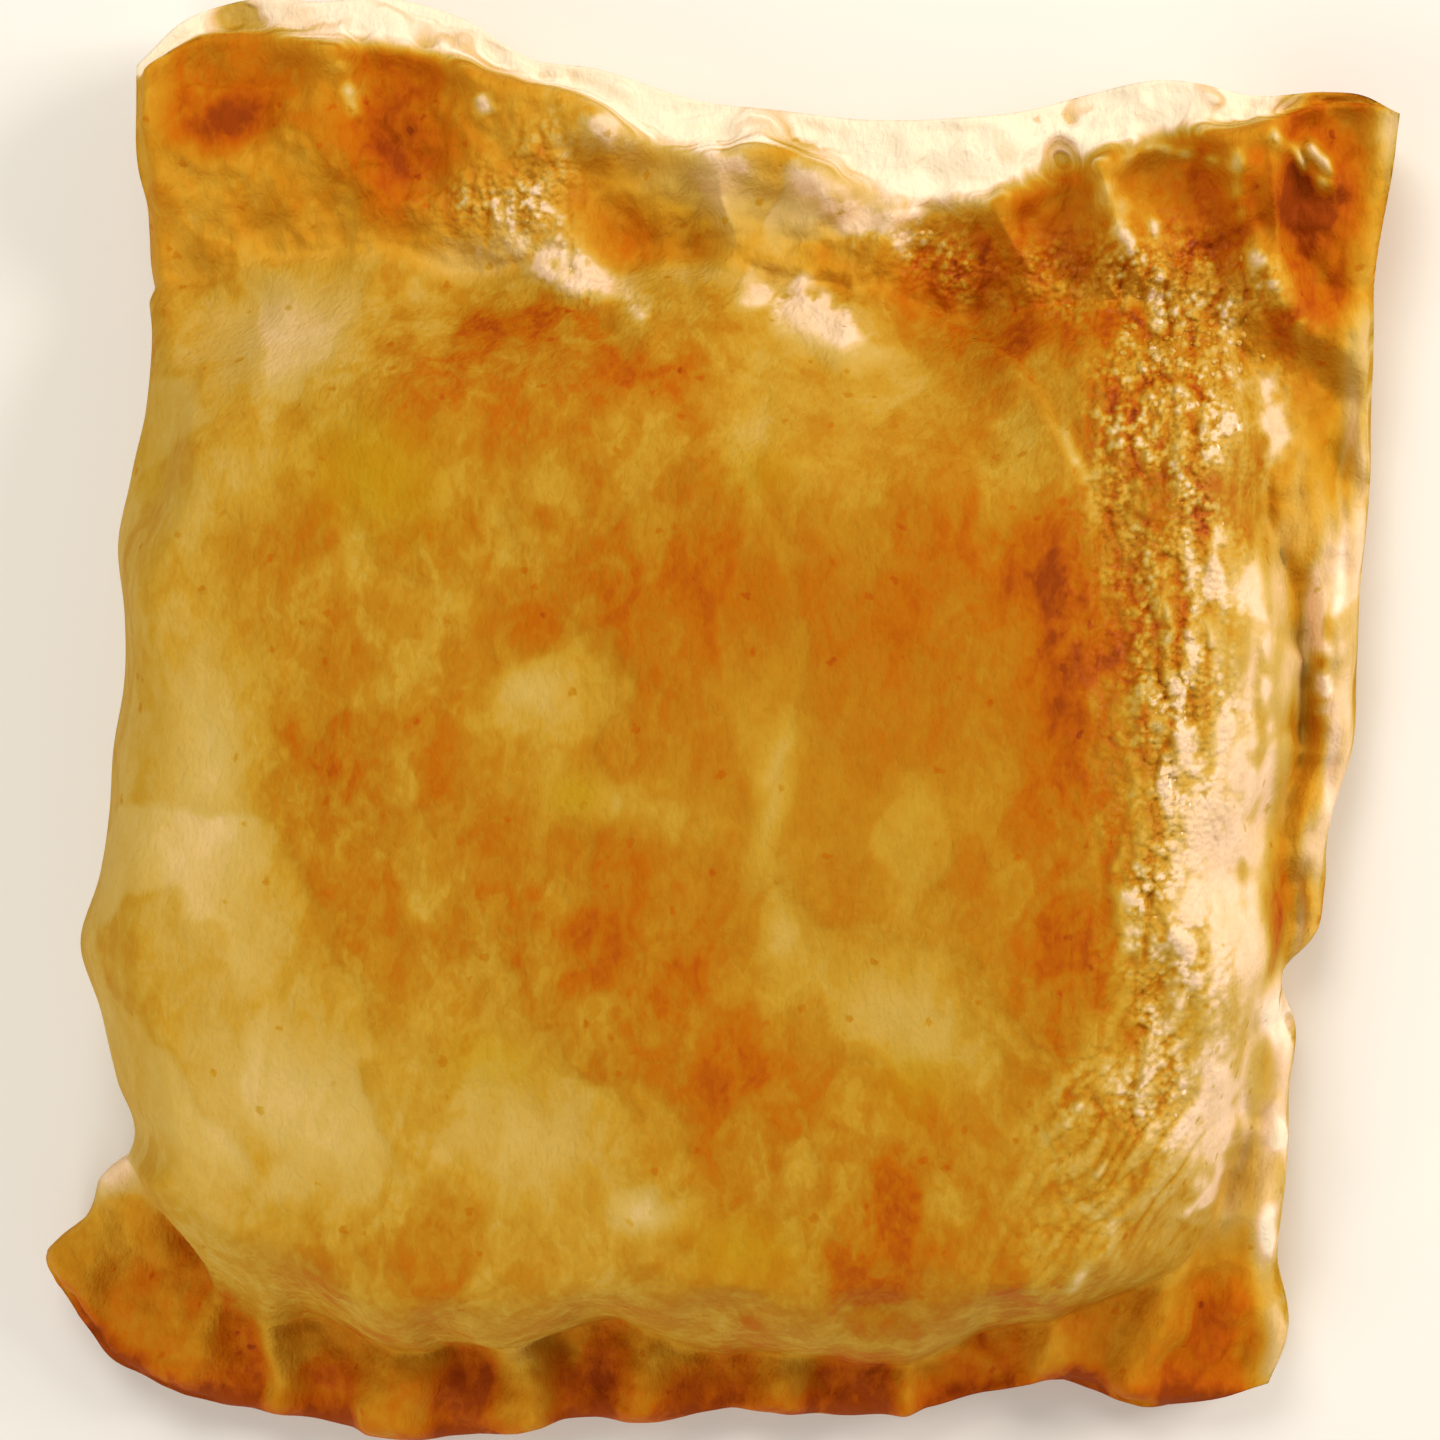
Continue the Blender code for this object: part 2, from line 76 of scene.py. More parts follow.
# where the finished crust is softer than the solid
softer = {
    "crimpReach": 3.0,            # the lower crimps run that much further up the flank
    "lowJoin": (-56, -44),        # heights between which the foot of the flanks turns firm
    "highJoin": (34, 42, 0.8),    # and then softer again, by that share
    "rightJoin": (40, 48, 0.8),   # the same across, on the right flank
    "footDip": (0.75, 0.5),       # share of the solid's dip, less that much where it is softest
    "joinRound": 1.2,             # share of the solid's fillet, one more where it is softest
}
flanks = {   # width, lateness
    "left": (9.5, 2.2),
    "right": (13.0, 1.8),
    "bottom": (11.5, 2.1),
    "top": (19.0, 1.7),
}
edgeHeight = {"left": 4.6, "right": 4.4, "bottom": 4.4, "top": 3.0}
edgeSlope = {"left": 1.8, "right": 2.4, "bottom": 1.7}
crimpSoftness = {"top": 2.3, "bottom": 1.8, "right": 1.9}
waves = {   # height, wavelengths, seed
    "flank": (1.1, (41, 24, 15), 5),
    "face": (0.3, (58, 37, 23, 13), 21),
    "rim": (0.4, (19, 11, 7), 3),
    "crimp": (0.8, (17, 9), 12),
    "wrinkle": (1.3, (19, 8, 5), 8),
}
waveShape = {"directions": 5, "falloff": 0.7}   # waves of each length, how much lower shorter ones are
wrinkleForm = {"height": 0.26, "pitch": 3.3, "middle": (41.0, 15.0), "half": (6.0, 27.0)}

# outline and creases as smooth lines through (along, across)
leftEdge = ((-60, -61.0), (-56, -62.9), (-52, -59.2), (-48, -58.1), (-44, -53.8), (-38, -55.4),
            (-32, -57.3), (-25, -59.8), (-18, -58.4), (-12, -57.8), (-6, -57.9), (0, -57.3),
            (7, -57.7), (14, -58.9), (21, -58.1), (27, -57.2), (34, -57.3), (40, -59.0),
            (45, -59.3), (47, -59.3), (50, -59.9), (60, -60.7))
rightEdge = ((-60, 57.1), (-54, 58.5), (-48, 57.0), (-43, 57.0), (-37, 57.1), (-31, 56.7),
             (-26, 56.9), (-21, 55.0), (-16, 58.1), (-13, 58.4), (-7, 58.2), (2, 59.9),
             (10, 59.5), (18, 59.3), (26, 59.4), (36, 58.7), (46, 57.9), (54, 58.4), (60, 58.6))
bottomEdge = ((-60, -60.8), (-56, -66.4), (-50, -68.8), (-44, -70.7), (-38, -70.8), (-31, -71.8),
              (-23, -72.1), (-16, -70.9), (-8, -68.7), (0, -67.9), (9, -66.0), (18, -66.0),
              (28, -63.8), (33, -62.0), (38, -60.3), (44, -61.3), (50, -61.9), (56, -60.5),
              (60, -58.6))
topEdge = ((-60, 59.1), (-56, 63.3), (-49, 66.3), (-43, 66.3), (-36, 67.1), (-29, 65.7),
           (-22, 62.3), (-16, 61.8), (-6, 59.5), (3, 59.0), (12, 58.8), (26, 60.8), (32, 62.9),
           (37, 64.1), (48, 63.4), (53, 64.3), (57, 64.1), (60, 62.6))
topSlope = ((-60, 1.2), (-50, 3.6), (-28, 5.0), (-20, 2.8), (-12, 5.8), (3, 4.4),
            (13, 8.6), (29, 7.2), (42, 4.8), (49, 1.6), (60, 1.4))
topCrease = ((-60, 39.4), (-45, 41.8), (-19, 43.6), (2, 44.2), (13, 42.2), (24, 41.8),
             (36, 42.6), (48, 40.0), (60, 36.0))
bottomCrease = ((-60, -43.0), (-54, -48.0), (-49, -55.6), (-42, -60.0), (-34, -61.8),
                (-21, -62.6), (4, -60.8), (18, -58.0), (30, -56.4), (42, -54.8), (54, -48.0))
rightCrease = ((-60, 47.0), (-46, 51.2), (-36, 53.0), (-8, 54.0), (8, 53.0), (22, 51.8),
               (36, 50.4), (48, 46.0))

# crimps: middle along the side, width, length, depth, lean
topCrimps = ((-52.0, 10.0, 10.0, 1.9, 0.0), (-34.0, 9.6, 11.5, 3.0, 1.0), (-10.5, 12.0, 9.5, 2.9, 1.5),
             (4.5, 5.4, 7.0, 1.6, 3.0), (18.0, 9.0, 5.5, 1.9, 0.0), (28.6, 5.2, 9.5, 2.8, 1.5),
             (40.4, 8.4, 11.0, 3.2, 2.0), (53.6, 8.2, 19.0, 3.6, 1.0))
bottomCrimps = ((-53.5, 8.0, 11.6, 2.2, 4.0), (-43.6, 5.4, 13.5, 2.6, 0.0), (-33.7, 6.6, 13.1, 2.8, 0.0),
                (-20.9, 6.3, 13.6, 3.0, 0.0), (-8.5, 6.2, 11.8, 3.0, 0.0), (4.2, 7.0, 11.4, 3.0, 0.5),
                (17.3, 7.0, 12.8, 2.8, 2.0), (29.3, 7.0, 11.2, 2.8, 2.0), (39.6, 5.8, 8.6, 2.2, 1.0),
                (51.8, 8.2, 12.6, 3.2, 1.0))
# dents along the right edge: middle, inset, width, length, depth
rightCrimps = ((31.9, 4.0, 4.6, 12.0, 2.4), (16.6, 6.2, 3.8, 7.4, 2.6), (6.4, 6.2, 4.6, 8.0, 2.6),
               (-1.4, 6.6, 4.2, 6.4, 2.0), (-14.1, 2.6, 4.6, 10.4, 2.4), (-28.7, 4.0, 3.8, 10.4, 2.6),
               (-37.9, 3.8, 4.0, 8.4, 2.8), (-48.4, 4.8, 5.0, 7.0, 2.4))

# raised folds, flakes and ribs: height, half-width, points along the top
ridgeLines = {
    "ribByLeftCorner": (1.0, 1.2, ((-39.7, 60.6), (-38.3, 55.8), (-37.1, 51.0))),
    "ribLeftOfMiddle": (1.0, 1.6, ((-18.5, 58.1), (-14.8, 54.0), (-16.0, 47.9))),
    "slantingRib": (1.9, 2.1, ((-4.0, 57.5), (2.5, 53.9), (9.4, 50.2))),
    "ribRightOfMiddle": (1.5, 1.6, ((30.2, 56.2), (33.7, 50.2), (36.9, 44.3))),
    "ribByRightCorner": (1.7, 1.7, ((43.8, 59.3), (45.1, 51.3), (48.8, 45.4), (52.4, 40.2))),
    "curledCornerFlap": (1.8, 1.5, ((46.7, 59.7), (50.9, 58.6), (54.7, 54.5))),
    "liftedFlake": (0.6, 1.0, ((-19.1, 44.1), (-8.4, 44.9), (7.2, 44.1), (13.0, 42.1))),
    "tornFlake": (0.5, 1.2, ((-23.2, 42.9), (-14.9, 40.2), (-9.1, 37.3), (-9.3, 34.3))),
    "paleFlake": (0.9, 2.6, ((3.5, 42.4), (8.9, 39.3), (10.5, 34.9))),
    "bridgeOnFlank": (1.2, 2.2, ((43.1, 19.9), (47.6, 19.0))),
    "archOverHollow": (0.6, 1.0, ((39.6, -15.8), (42.6, -14.5), (45.2, -16.0))),
    "longFlankFold": (0.8, 1.6, ((46.5, 5.5), (47.8, -9.8), (47.3, -26.7))),
    "upperEdgeLayer": (0.9, 0.9, ((56.1, 25.4), (55.7, 16.7), (56.5, 6.9), (56.8, 0.0))),
    "lowerEdgeBump": (1.0, 1.8, ((54.5, -18.9), (54.9, -23.3))),
    "blisterRim": (0.35, 1.5, ((-5.0, -39.9), (-0.8, -41.0), (3.5, -39.2))),
}

# soft spots: middle across, middle up, half-width, half-length, turn, how much
hollowSpots = {
    "hollowOnFlank": (42.5, -20.3, 3.4, 4.8, 0.0, 1.8),
    "cornerHollow": (51.0, 46.4, 4.2, 3.4, 0.0, 0.5),
    "dipBelowFlake": (-12.4, 35.3, 7.0, 3.0, 0.0, 0.9),
    "dipRightOfFace": (36.5, 24.2, 3.2, 12.0, 0.0, 0.7),
    "softDipLow": (22.7, -29.8, 10.0, 6.0, 0.0, 0.8),
}
faceStepLine = ((15.9, 41.7), (23.6, 37.8), (29.3, 30.0), (32.4, 24.2), (34.3, 9.4))
faceStepForm = {"height": 1.2, "width": 1.4, "reach": 7.0, "ends": ((4, 14), (40, 46))}


def through(knots, along):
    at, value = np.array(knots, dtype=float).T
    slope = np.gradient(value, at)
    along = np.clip(along, at[0], at[-1])
    first = np.clip(np.searchsorted(at, along) - 1, 0, len(at) - 2)
    span = at[first + 1] - at[first]
    t = (along - at[first]) / span
    ends = (1 + 2 * t) * (1 - t) ** 2 * value[first] + (3 - 2 * t) * t**2 * value[first + 1]
    pulls = t * (1 - t) ** 2 * slope[first] + (t - 1) * t**2 * slope[first + 1]
    return ends + pulls * span


def smoothStep(low, high, value):
    t = np.clip((value - low) / (high - low), 0, 1)
    return t * t * (3 - 2 * t)


def smoothMax(a, b, rounding):
    blend = np.clip(0.5 + 0.5 * (a - b) / rounding, 0, 1)
    return b + (a - b) * blend + rounding * blend * (1 - blend)


def distanceToLine(x, y, points):   # distance, and how far along the line
    nearest = np.full(np.shape(x), np.inf)
    share = np.zeros(np.shape(x))
    for i, ((x0, y0), (x1, y1)) in enumerate(zip(points[:-1], points[1:])):
        alongX, alongY = x1 - x0, y1 - y0
        t = np.clip(((x - x0) * alongX + (y - y0) * alongY) / (alongX**2 + alongY**2), 0, 1)
        away = np.hypot(x - x0 - t * alongX, y - y0 - t * alongY)
        share = np.where(away < nearest, (i + t) / (len(points) - 1), share)
        nearest = np.minimum(nearest, away)
    return nearest, share


def outline(across, up):   # bends a square from -1 to 1 to the pie's outline
    nominalX, nominalY = form["halfSide"] * across, form["halfSide"] * up
    left, right = through(leftEdge, nominalY), through(rightEdge, nominalY)
    bottom, top = through(bottomEdge, nominalX), through(topEdge, nominalX)
    return left + (right - left) * (across + 1) / 2, bottom + (top - bottom) * (up + 1) / 2


def inward(x, y, right=rightEdge, bottom=bottomEdge, top=topEdge):   # distance from each side
    return {
        "left": x - through(leftEdge, y),
        "right": through(right, y) - x,
        "bottom": y - through(bottom, x),
        "top": through(top, x) - y,
    }


def browLine(x):   # where the top side's slope starts
    return through(topEdge, x) - through(topSlope, x)


def lumps(x, y, kind):
    height, lengths, seed = waves[kind]
    rng = np.random.default_rng(seed)
    total = np.zeros(np.shape(x))
    for length in lengths:
        for turn in rng.uniform(0, np.pi, waveShape["directions"]):
            phase = rng.uniform(0, 2 * np.pi)
            wave = (x * np.cos(turn) + y * np.sin(turn)) / length
            total += np.sin(2 * np.pi * wave + phase) * (length / lengths[0]) ** waveShape["falloff"]
    return height * total / 2


def softSpot(x, y, spot):   # 1 in the middle of the spot, fading to 0
    middleX, middleY, halfX, halfY, turn = spot
    cos, sin = math.cos(turn), math.sin(turn)
    across, along = (x - middleX) * cos + (y - middleY) * sin, (y - middleY) * cos - (x - middleX) * sin
    return np.exp(-((across / halfX) ** 2 + (along / halfY) ** 2))


def spotsAt(x, y, spots, start=0.0):
    total = np.full(np.shape(x), start)
    for *spot, amount in spots.values():
        total += amount * softSpot(x, y, spot)
    return total


def softLine(height, across, share):   # across in half-widths, share of the way along
    return height * (1 - (2 * share - 1) ** 4) * np.exp(-(across**2))


def rimLevel(x, y):
    rise = form["topRimRise"] * smoothStep(*form["topRimReach"], y)
    return form["rimHeight"] + rise + lumps(x, y, "rim")


def pocket(x, y):   # 1 on the face, 0 at the foot of its flanks
    away = inward(x, y, rightCrease, bottomCrease, topCrease)
    away["left"] = away["left"] + form["foldReach"]
    wander = lumps(x, y, "flank") * smoothStep(0, form["straightFold"], away["left"])
    fall = np.zeros(np.shape(x))
    for side, (width, lateness) in flanks.items():
        fall += np.clip(1 - (away[side] + wander) / width, 0, None) ** (lateness * form["cornerPower"])
    return np.clip(1 - fall ** (1 / form["cornerPower"]), 0, 1)


def crimpSlots():   # outer end, inner end, half-width, depth, softness
    for middle, width, length, depth, lean in topCrimps:
        brow = browLine(middle)
        outer = brow - width / 2 + form["crimpOverBrow"]
        inner = min(brow - length + width / 2, outer - form["shortestCrimp"])
        yield (middle - lean, outer), (middle + lean, inner), width / 2, depth, crimpSoftness["top"]
    for middle, width, length, depth, lean in bottomCrimps:
        edge = through(bottomEdge, middle)
        outer, inner = edge - form["crimpStart"], edge + length + softer["crimpReach"] - width / 2
        yield (middle - lean, outer), (middle + lean, inner), width / 2, depth, crimpSoftness["bottom"]
    for middle, inset, width, length, depth in rightCrimps:
        reach = (length - width) / 2
        lower, upper = ((through(rightEdge, y) - inset, y) for y in (middle - reach, middle + reach))
        yield lower, upper, width / 2, depth, crimpSoftness["right"]


def crimps(x, y):   # how far pressed in, and how far puffed up between
    x = x + lumps(x, y, "crimp")
    y = y + lumps(y, x, "crimp")
    pressed = np.zeros(np.shape(x))
    gap = np.full(np.shape(x), np.inf)
    for outer, inner, halfWidth, depth, soft in crimpSlots():
        away, share = distanceToLine(x, y, (outer, inner))
        floor = 1 - smoothStep(halfWidth - soft, halfWidth + soft, away)
        pressed = np.maximum(pressed, depth * floor * (1 - form["crimpFade"] * share))
        gap = np.minimum(gap, away - halfWidth)
    return pressed, form["ribPuff"] * smoothStep(0, form["ribSlope"], gap)


def rim(x, y, level):
    start, browHeight, inset, halfWidth = form["brow"]
    height = level + browHeight * np.exp(-(((browLine(x) - y - inset) / halfWidth) ** 2))
    for side, distance in inward(x, y).items():
        width = through(topSlope, x) if side == "top" else edgeSlope[side]
        share = np.clip(distance / width, 0, 1)
        rise = np.sqrt(1 - (1 - share) ** 2)
        if side == "top":
            lip = np.sqrt(1 - (1 - np.clip(share / form["lipShare"], 0, 1)) ** 2)
            rise = form["lipShare"] * lip + (1 - form["lipShare"]) * smoothStep(start, 1, share)
        edge = np.minimum(edgeHeight[side], level)
        height = np.minimum(height, edge + (height - edge) * rise)
    return height


def ridges(x, y):
    raised = np.zeros(np.shape(x))
    for height, halfWidth, points in ridgeLines.values():
        away, share = distanceToLine(x, y, points)
        raised = np.maximum(raised, softLine(height, away / halfWidth, share))
    return raised


def faceStep(x, y):
    away, _ = distanceToLine(x, y, faceStepLine)
    lineX = through([(py, px) for px, py in reversed(faceStepLine)], y)
    half, reach, (fadeIn, fadeOut) = faceStepForm["width"] / 2, faceStepForm["reach"], faceStepForm["ends"]
    window = smoothStep(*fadeIn, y) * (1 - smoothStep(*fadeOut, y))
    step = faceStepForm["height"] * smoothStep(-half, half, x - lineX)
    return step * np.exp(-((away / reach) ** 2)) * window


def wrinkles(x, y):
    window = softSpot(x, y, (*wrinkleForm["middle"], *wrinkleForm["half"], 0.0))
    wave = 2 * np.pi * (x + lumps(x, y, "wrinkle")) / wrinkleForm["pitch"]
    return wrinkleForm["height"] * window * np.sin(wave)


def softJoin(x, y):   # 1 where the foot of the flanks is softest
    *high, highShare = softer["highJoin"]
    *right, rightShare = softer["rightJoin"]
    firm = smoothStep(*softer["lowJoin"], y) * (1 - highShare * smoothStep(*high, y))
    return np.maximum(1 - firm, rightShare * smoothStep(*right, x))


def crustHeight(x, y):
    level, share, soft = rimLevel(x, y), pocket(x, y), softJoin(x, y)
    pressed, puffed = crimps(x, y)
    bow = form["faceBow"] * (x**2 + y**2) / form["halfSide"] ** 2
    face = form["crownHeight"] - bow + lumps(x, y, "face")
    (footDrop, footShare), (dipKept, dipLost) = form["foot"], softer["footDip"]
    dip = footDrop * (dipKept - dipLost * soft) * (1 - smoothStep(0, footShare, share))
    raised = level + (face - level) * share - pressed - dip
    rounding = form["joinRound"] * (softer["joinRound"] + soft)
    body = smoothMax(raised, rim(x, y, level - pressed + puffed), rounding)
    return body + ridges(x, y) + wrinkles(x, y) - spotsAt(x, y, hollowSpots) - faceStep(x, y)


# small relief, which the solid doesn't have
relief = {
    "grain": ((0.20, 3.4, 1.5), (0.10, 1.3, 2.5)),   # height, size, seed: soft skin all over
    "pimples": (0.16, 3.6, 49.5, 0.20),              # the same, and the radius as a share of the size
    "rimCrumple": ((0.60, 3.0, 7.5), (0.34, 1.3, 7.5)),
    "folds": (0.85, 1.9, 6.5, 0.12, 4.5),            # height, across, along, turn, seed
    "slantFolds": (0.9, 1.4, 6.0, -0.62, 6.5),
    "streaks": (0.60, 1.2, 9.0, 0.03, 48.5),         # long fine wrinkles of the right flank and rim
    "rimEnds": (0.02, 0.16),                         # shares of the pocket between which the rim's own ends
    "roundFolds": (0.03, 0.47),                      # bluntness of the creases, level between
    "bubbles": ((0.44, 1.05, 5.5, 0.55), (0.30, 0.62, 15.5, 0.45)),   # height, size, seed, share
    "bubbleRadius": 0.75,                            # as a share of the size
    "paleAndLitBubbleTop": (0.55, 0.95),                       # where a bubble's paler top starts, where it is full; the paler top is partly painted highlight
    "cover": 0.35,                                   # how far the crust lies under the finer skin
}
peel = {   # the browned top layer, whole in patches
    "thickness": 0.20,
    "size": 9.0,
    "stretch": 1.4,
    "turn": 0.15,
    "seed": 8.5,
    "edge": 0.05,
    "more": 0.06,      # higher: larger patches
    "level": 0.7,      # share of the thickness below which it counts as gone
}
foldLook = {"height": 1.3, "width": 1.35, "pale": 1.15, "paleWidth": 1.7}   # all folds together
breaks = {   # how folds and bubbles come and go: least, strength, size, seed, most
    "folds": (0.75, 1.5, 1.8, 43.5, 1.2),
    "bubbles": (0.6, 1.6, 2.2, 45.5, 1.0),
}
bends = {   # how far lines and patches wander, over what size, seed
    "peelAcross": (2.4, 4.0, 21.5),
    "peelUp": (2.4, 4.0, 22.5),
    "foldAcross": (0.5, 2.4, 41.5),
    "foldUp": (0.5, 2.4, 42.5),
    "shoulder": (1.2, 5.0, 3.5),
    "streaks": (0.9, 6.0, 47.5),
    "cracks": (0.6, 2.0, 31.5),
}
# raised wrinkles of the skin: height, half-width, how much paler, points along the top; the paleness is
# partly the skin's own, partly painted highlight
skinFolds = {
    "shoulderFolds": (
        (0.50, 0.47, 0.34, ((34.0, 43.6), (35.7, 42.6), (37.6, 40.9), (39.2, 38.9))),
        (0.50, 0.47, 0.38, ((35.3, 39.6), (36.2, 37.9), (37.2, 36.6))),
        (0.35, 0.37, 0.24, ((36.8, 35.5), (37.8, 33.6), (38.7, 31.1))),
        (0.40, 0.46, 0.28, ((39.2, 34.4), (40.2, 35.0), (41.0, 34.2), (40.7, 33.0))),
        (0.35, 0.37, 0.26, ((38.9, 29.0), (40.1, 28.2), (40.8, 26.8), (40.0, 25.6))),
        (0.45, 0.46, 0.30, ((42.4, 34.5), (42.7, 32.1), (43.4, 29.9), (44.0, 27.4))),
        (0.35, 0.47, 0.28, ((44.7, 33.5), (44.4, 31.2))),
        (0.35, 0.47, 0.30, ((45.0, 38.7), (45.7, 36.4), (46.0, 34.2))),
        (0.30, 0.37, 0.20, ((29.5, 31.1), (30.3, 29.3), (31.4, 27.4), (32.5, 25.6))),
        (0.30, 0.37, 0.20, ((32.6, 25.4), (33.1, 22.1))),
        (0.35, 0.37, 0.18, ((36.3, 27.5), (37.3, 24.8), (37.7, 22.7))),
        (0.35, 0.37, 0.24, ((40.9, 21.9), (41.6, 19.7), (42.4, 17.0), (43.1, 14.2))),
        (0.40, 0.46, 0.28, ((39.7, 18.7), (40.2, 16.0), (40.8, 12.4), (41.6, 8.9), (42.5, 6.9))),
        (0.35, 0.37, 0.24, ((41.9, 14.3), (42.6, 11.6), (43.2, 9.2))),
        (0.35, 0.37, 0.20, ((43.7, 15.1), (44.5, 11.6))),
        (0.35, 0.37, 0.18, ((38.5, 19.5), (39.3, 15.9), (39.4, 12.3))),
        (0.40, 0.57, 0.34, ((28.5, 45.1), (29.6, 43.5))),
        (0.45, 0.54, 0.34, ((37.1, 7.8), (38.3, 7.0), (38.5, 5.4))),
        (0.45, 0.55, 0.36, ((38.8, 4.5), (40.8, 5.0), (42.3, 4.2), (43.4, 1.7), (44.1, -0.3))),
        (0.30, 0.36, 0.20, ((40.6, 1.1), (41.6, -2.0), (42.6, -4.8))),
        (0.30, 0.36, 0.22, ((37.4, 2.3), (38.2, 0.1), (39.1, -2.1))),
        (0.30, 0.36, 0.22, ((37.7, -6.5), (37.5, -8.7))),
        (0.40, 0.45, 0.34, ((37.8, -10.0), (39.0, -11.1), (39.3, -12.9), (40.2, -14.8))),
    ),
    "flankFolds": (
        (0.45, 0.86, 0.40, ((47.9, 39.4), (49.1, 35.9), (49.0, 33.5), (49.9, 31.7), (51.1, 29.7))),
        (0.45, 0.46, 0.42, ((44.1, 23.6), (44.0, 19.9), (44.7, 16.1))),
        (0.50, 1.21, 0.26, ((46.3, 7.3), (48.1, 3.7), (49.1, -1.0), (49.3, -6.7), (50.1, -11.7))),
        (0.55, 0.36, 0.48, ((40.9, -14.9), (43.2, -14.2), (44.9, -15.0), (45.7, -17.3), (45.7, -20.1))),
        (0.35, 0.73, 0.26, ((44.9, -9.0), (44.8, -13.6))),
        (0.35, 0.37, 0.28, ((49.2, 17.3), (50.0, 13.0), (50.0, 7.4), (51.3, 3.9))),
        (0.35, 0.54, 0.26, ((38.1, -9.4), (39.0, -16.8))),
        (0.35, 0.37, 0.24, ((44.7, -18.9), (44.2, -21.5), (43.0, -23.4), (41.8, -25.0))),
        (0.50, 0.85, 0.32, ((48.0, -23.7), (49.1, -28.0), (49.9, -32.3), (49.7, -36.3), (49.2, -40.3),
                            (47.8, -42.9))),
        (0.35, 0.37, 0.28, ((44.6, -30.6), (44.5, -32.9), (42.7, -35.1))),
        (0.35, 0.36, 0.22, ((41.3, -27.3), (40.3, -30.5))),
        (0.30, 0.36, 0.18, ((39.2, -34.8), (37.7, -36.7))),
        (0.40, 0.37, 0.24, ((40.6, -40.0), (39.5, -43.6), (37.8, -45.8), (36.0, -49.0))),
        (0.35, 0.47, 0.28, ((48.0, -35.6), (48.0, -39.9), (46.6, -42.0))),
        (0.30, 0.45, 0.16, ((36.8, -23.9), (38.1, -27.3), (36.4, -29.8), (34.5, -32.6), (33.0, -34.8))),
        (0.30, 0.36, 0.20, ((42.9, -24.8), (40.9, -28.5), (39.7, -33.1))),
    ),
    "rightRimFolds": (
        (0.40, 0.48, 0.46, ((54.5, 21.1), (55.5, 13.2), (56.4, 7.6), (56.5, 5.9))),
        (0.30, 0.38, 0.22, ((56.3, 22.9), (57.0, 17.1), (57.7, 11.3))),
        (0.30, 0.48, 0.30, ((50.9, 43.0), (52.1, 40.6))),
        (0.30, 0.48, 0.36, ((55.4, -30.8), (56.3, -37.1))),
        (0.30, 0.48, 0.30, ((55.3, -40.3), (56.5, -46.9))),
    ),
    "rimFlakes": (
        (0.45, 0.76, 0.42, ((-24.3, 45.2), (-21.7, 43.6), (-18.4, 41.9), (-14.9, 39.9))),
        (0.40, 0.66, 0.36, ((-17.8, 43.6), (-15.6, 41.8), (-13.1, 39.7))),
        (0.35, 0.33, 0.34, ((-11.1, 39.7), (-9.3, 38.1))),
        (0.40, 0.85, 0.36, ((-1.6, 42.4), (1.7, 41.0))),
        (0.50, 0.75, 0.46, ((3.4, 43.4), (5.7, 41.4), (8.8, 39.1), (10.3, 37.1))),
        (0.35, 0.76, 0.38, ((2.2, 54.3), (5.4, 51.6), (8.3, 49.6), (11.6, 48.8))),
        (0.35, 0.57, 0.34, ((-6.4, 55.5), (-3.1, 53.7), (-1.6, 52.0))),
        (0.45, 0.66, 0.40, ((-17.7, 57.1), (-14.5, 55.7), (-13.1, 54.0))),
        (0.30, 0.38, 0.28, ((11.2, 49.5), (16.0, 50.3))),
        (0.30, 0.38, 0.22, ((12.1, 47.4), (17.1, 48.3))),
        (0.35, 0.75, 0.34, ((31.3, 54.4), (32.9, 51.6), (34.5, 48.9), (36.0, 46.5))),
        (0.35, 0.43, 0.30, ((36.2, 51.5), (37.3, 48.7))),
        (0.35, 0.66, 0.30, ((42.8, 58.0), (44.0, 55.2), (44.7, 51.5))),
        (0.35, 0.76, 0.32, ((44.9, 49.6), (46.9, 47.8), (48.3, 46.1), (50.1, 43.5))),
        (1.10, 0.58, 0.66, ((45.8, 60.0), (48.7, 58.5), (51.1, 56.4), (53.9, 55.1))),
        (1.00, 0.48, 0.62, ((49.7, 60.3), (51.6, 58.1), (53.6, 56.2))),
        (0.30, 0.38, 0.30, ((32.0, 55.6), (35.8, 57.6), (40.4, 57.5), (43.4, 56.4))),
        (0.35, 0.57, 0.40, ((-40.8, 60.4), (-39.7, 58.1), (-38.6, 55.6))),
        (0.30, 0.47, 0.34, ((-27.2, 58.5), (-26.2, 56.2))),
    ),
}
# fine cracks in the skin: depth, half-width, points along it
cracks = {
    "fromNotch": (0.4, 0.8, ((-58.5, 40.2), (-54.0, 39.2), (-49.5, 40.6), (-46.0, 42.6))),
    "underFlake": (0.5, 0.6, ((-23.0, 39.4), (-17.0, 39.2), (-11.0, 36.0))),
    "besidePaleFlake": (0.5, 0.7, ((0.5, 41.0), (5.0, 37.2), (8.4, 33.4))),
    "overRimMiddle": (0.3, 0.6, ((-6.0, 46.8), (4.0, 47.2), (13.0, 44.8))),
}
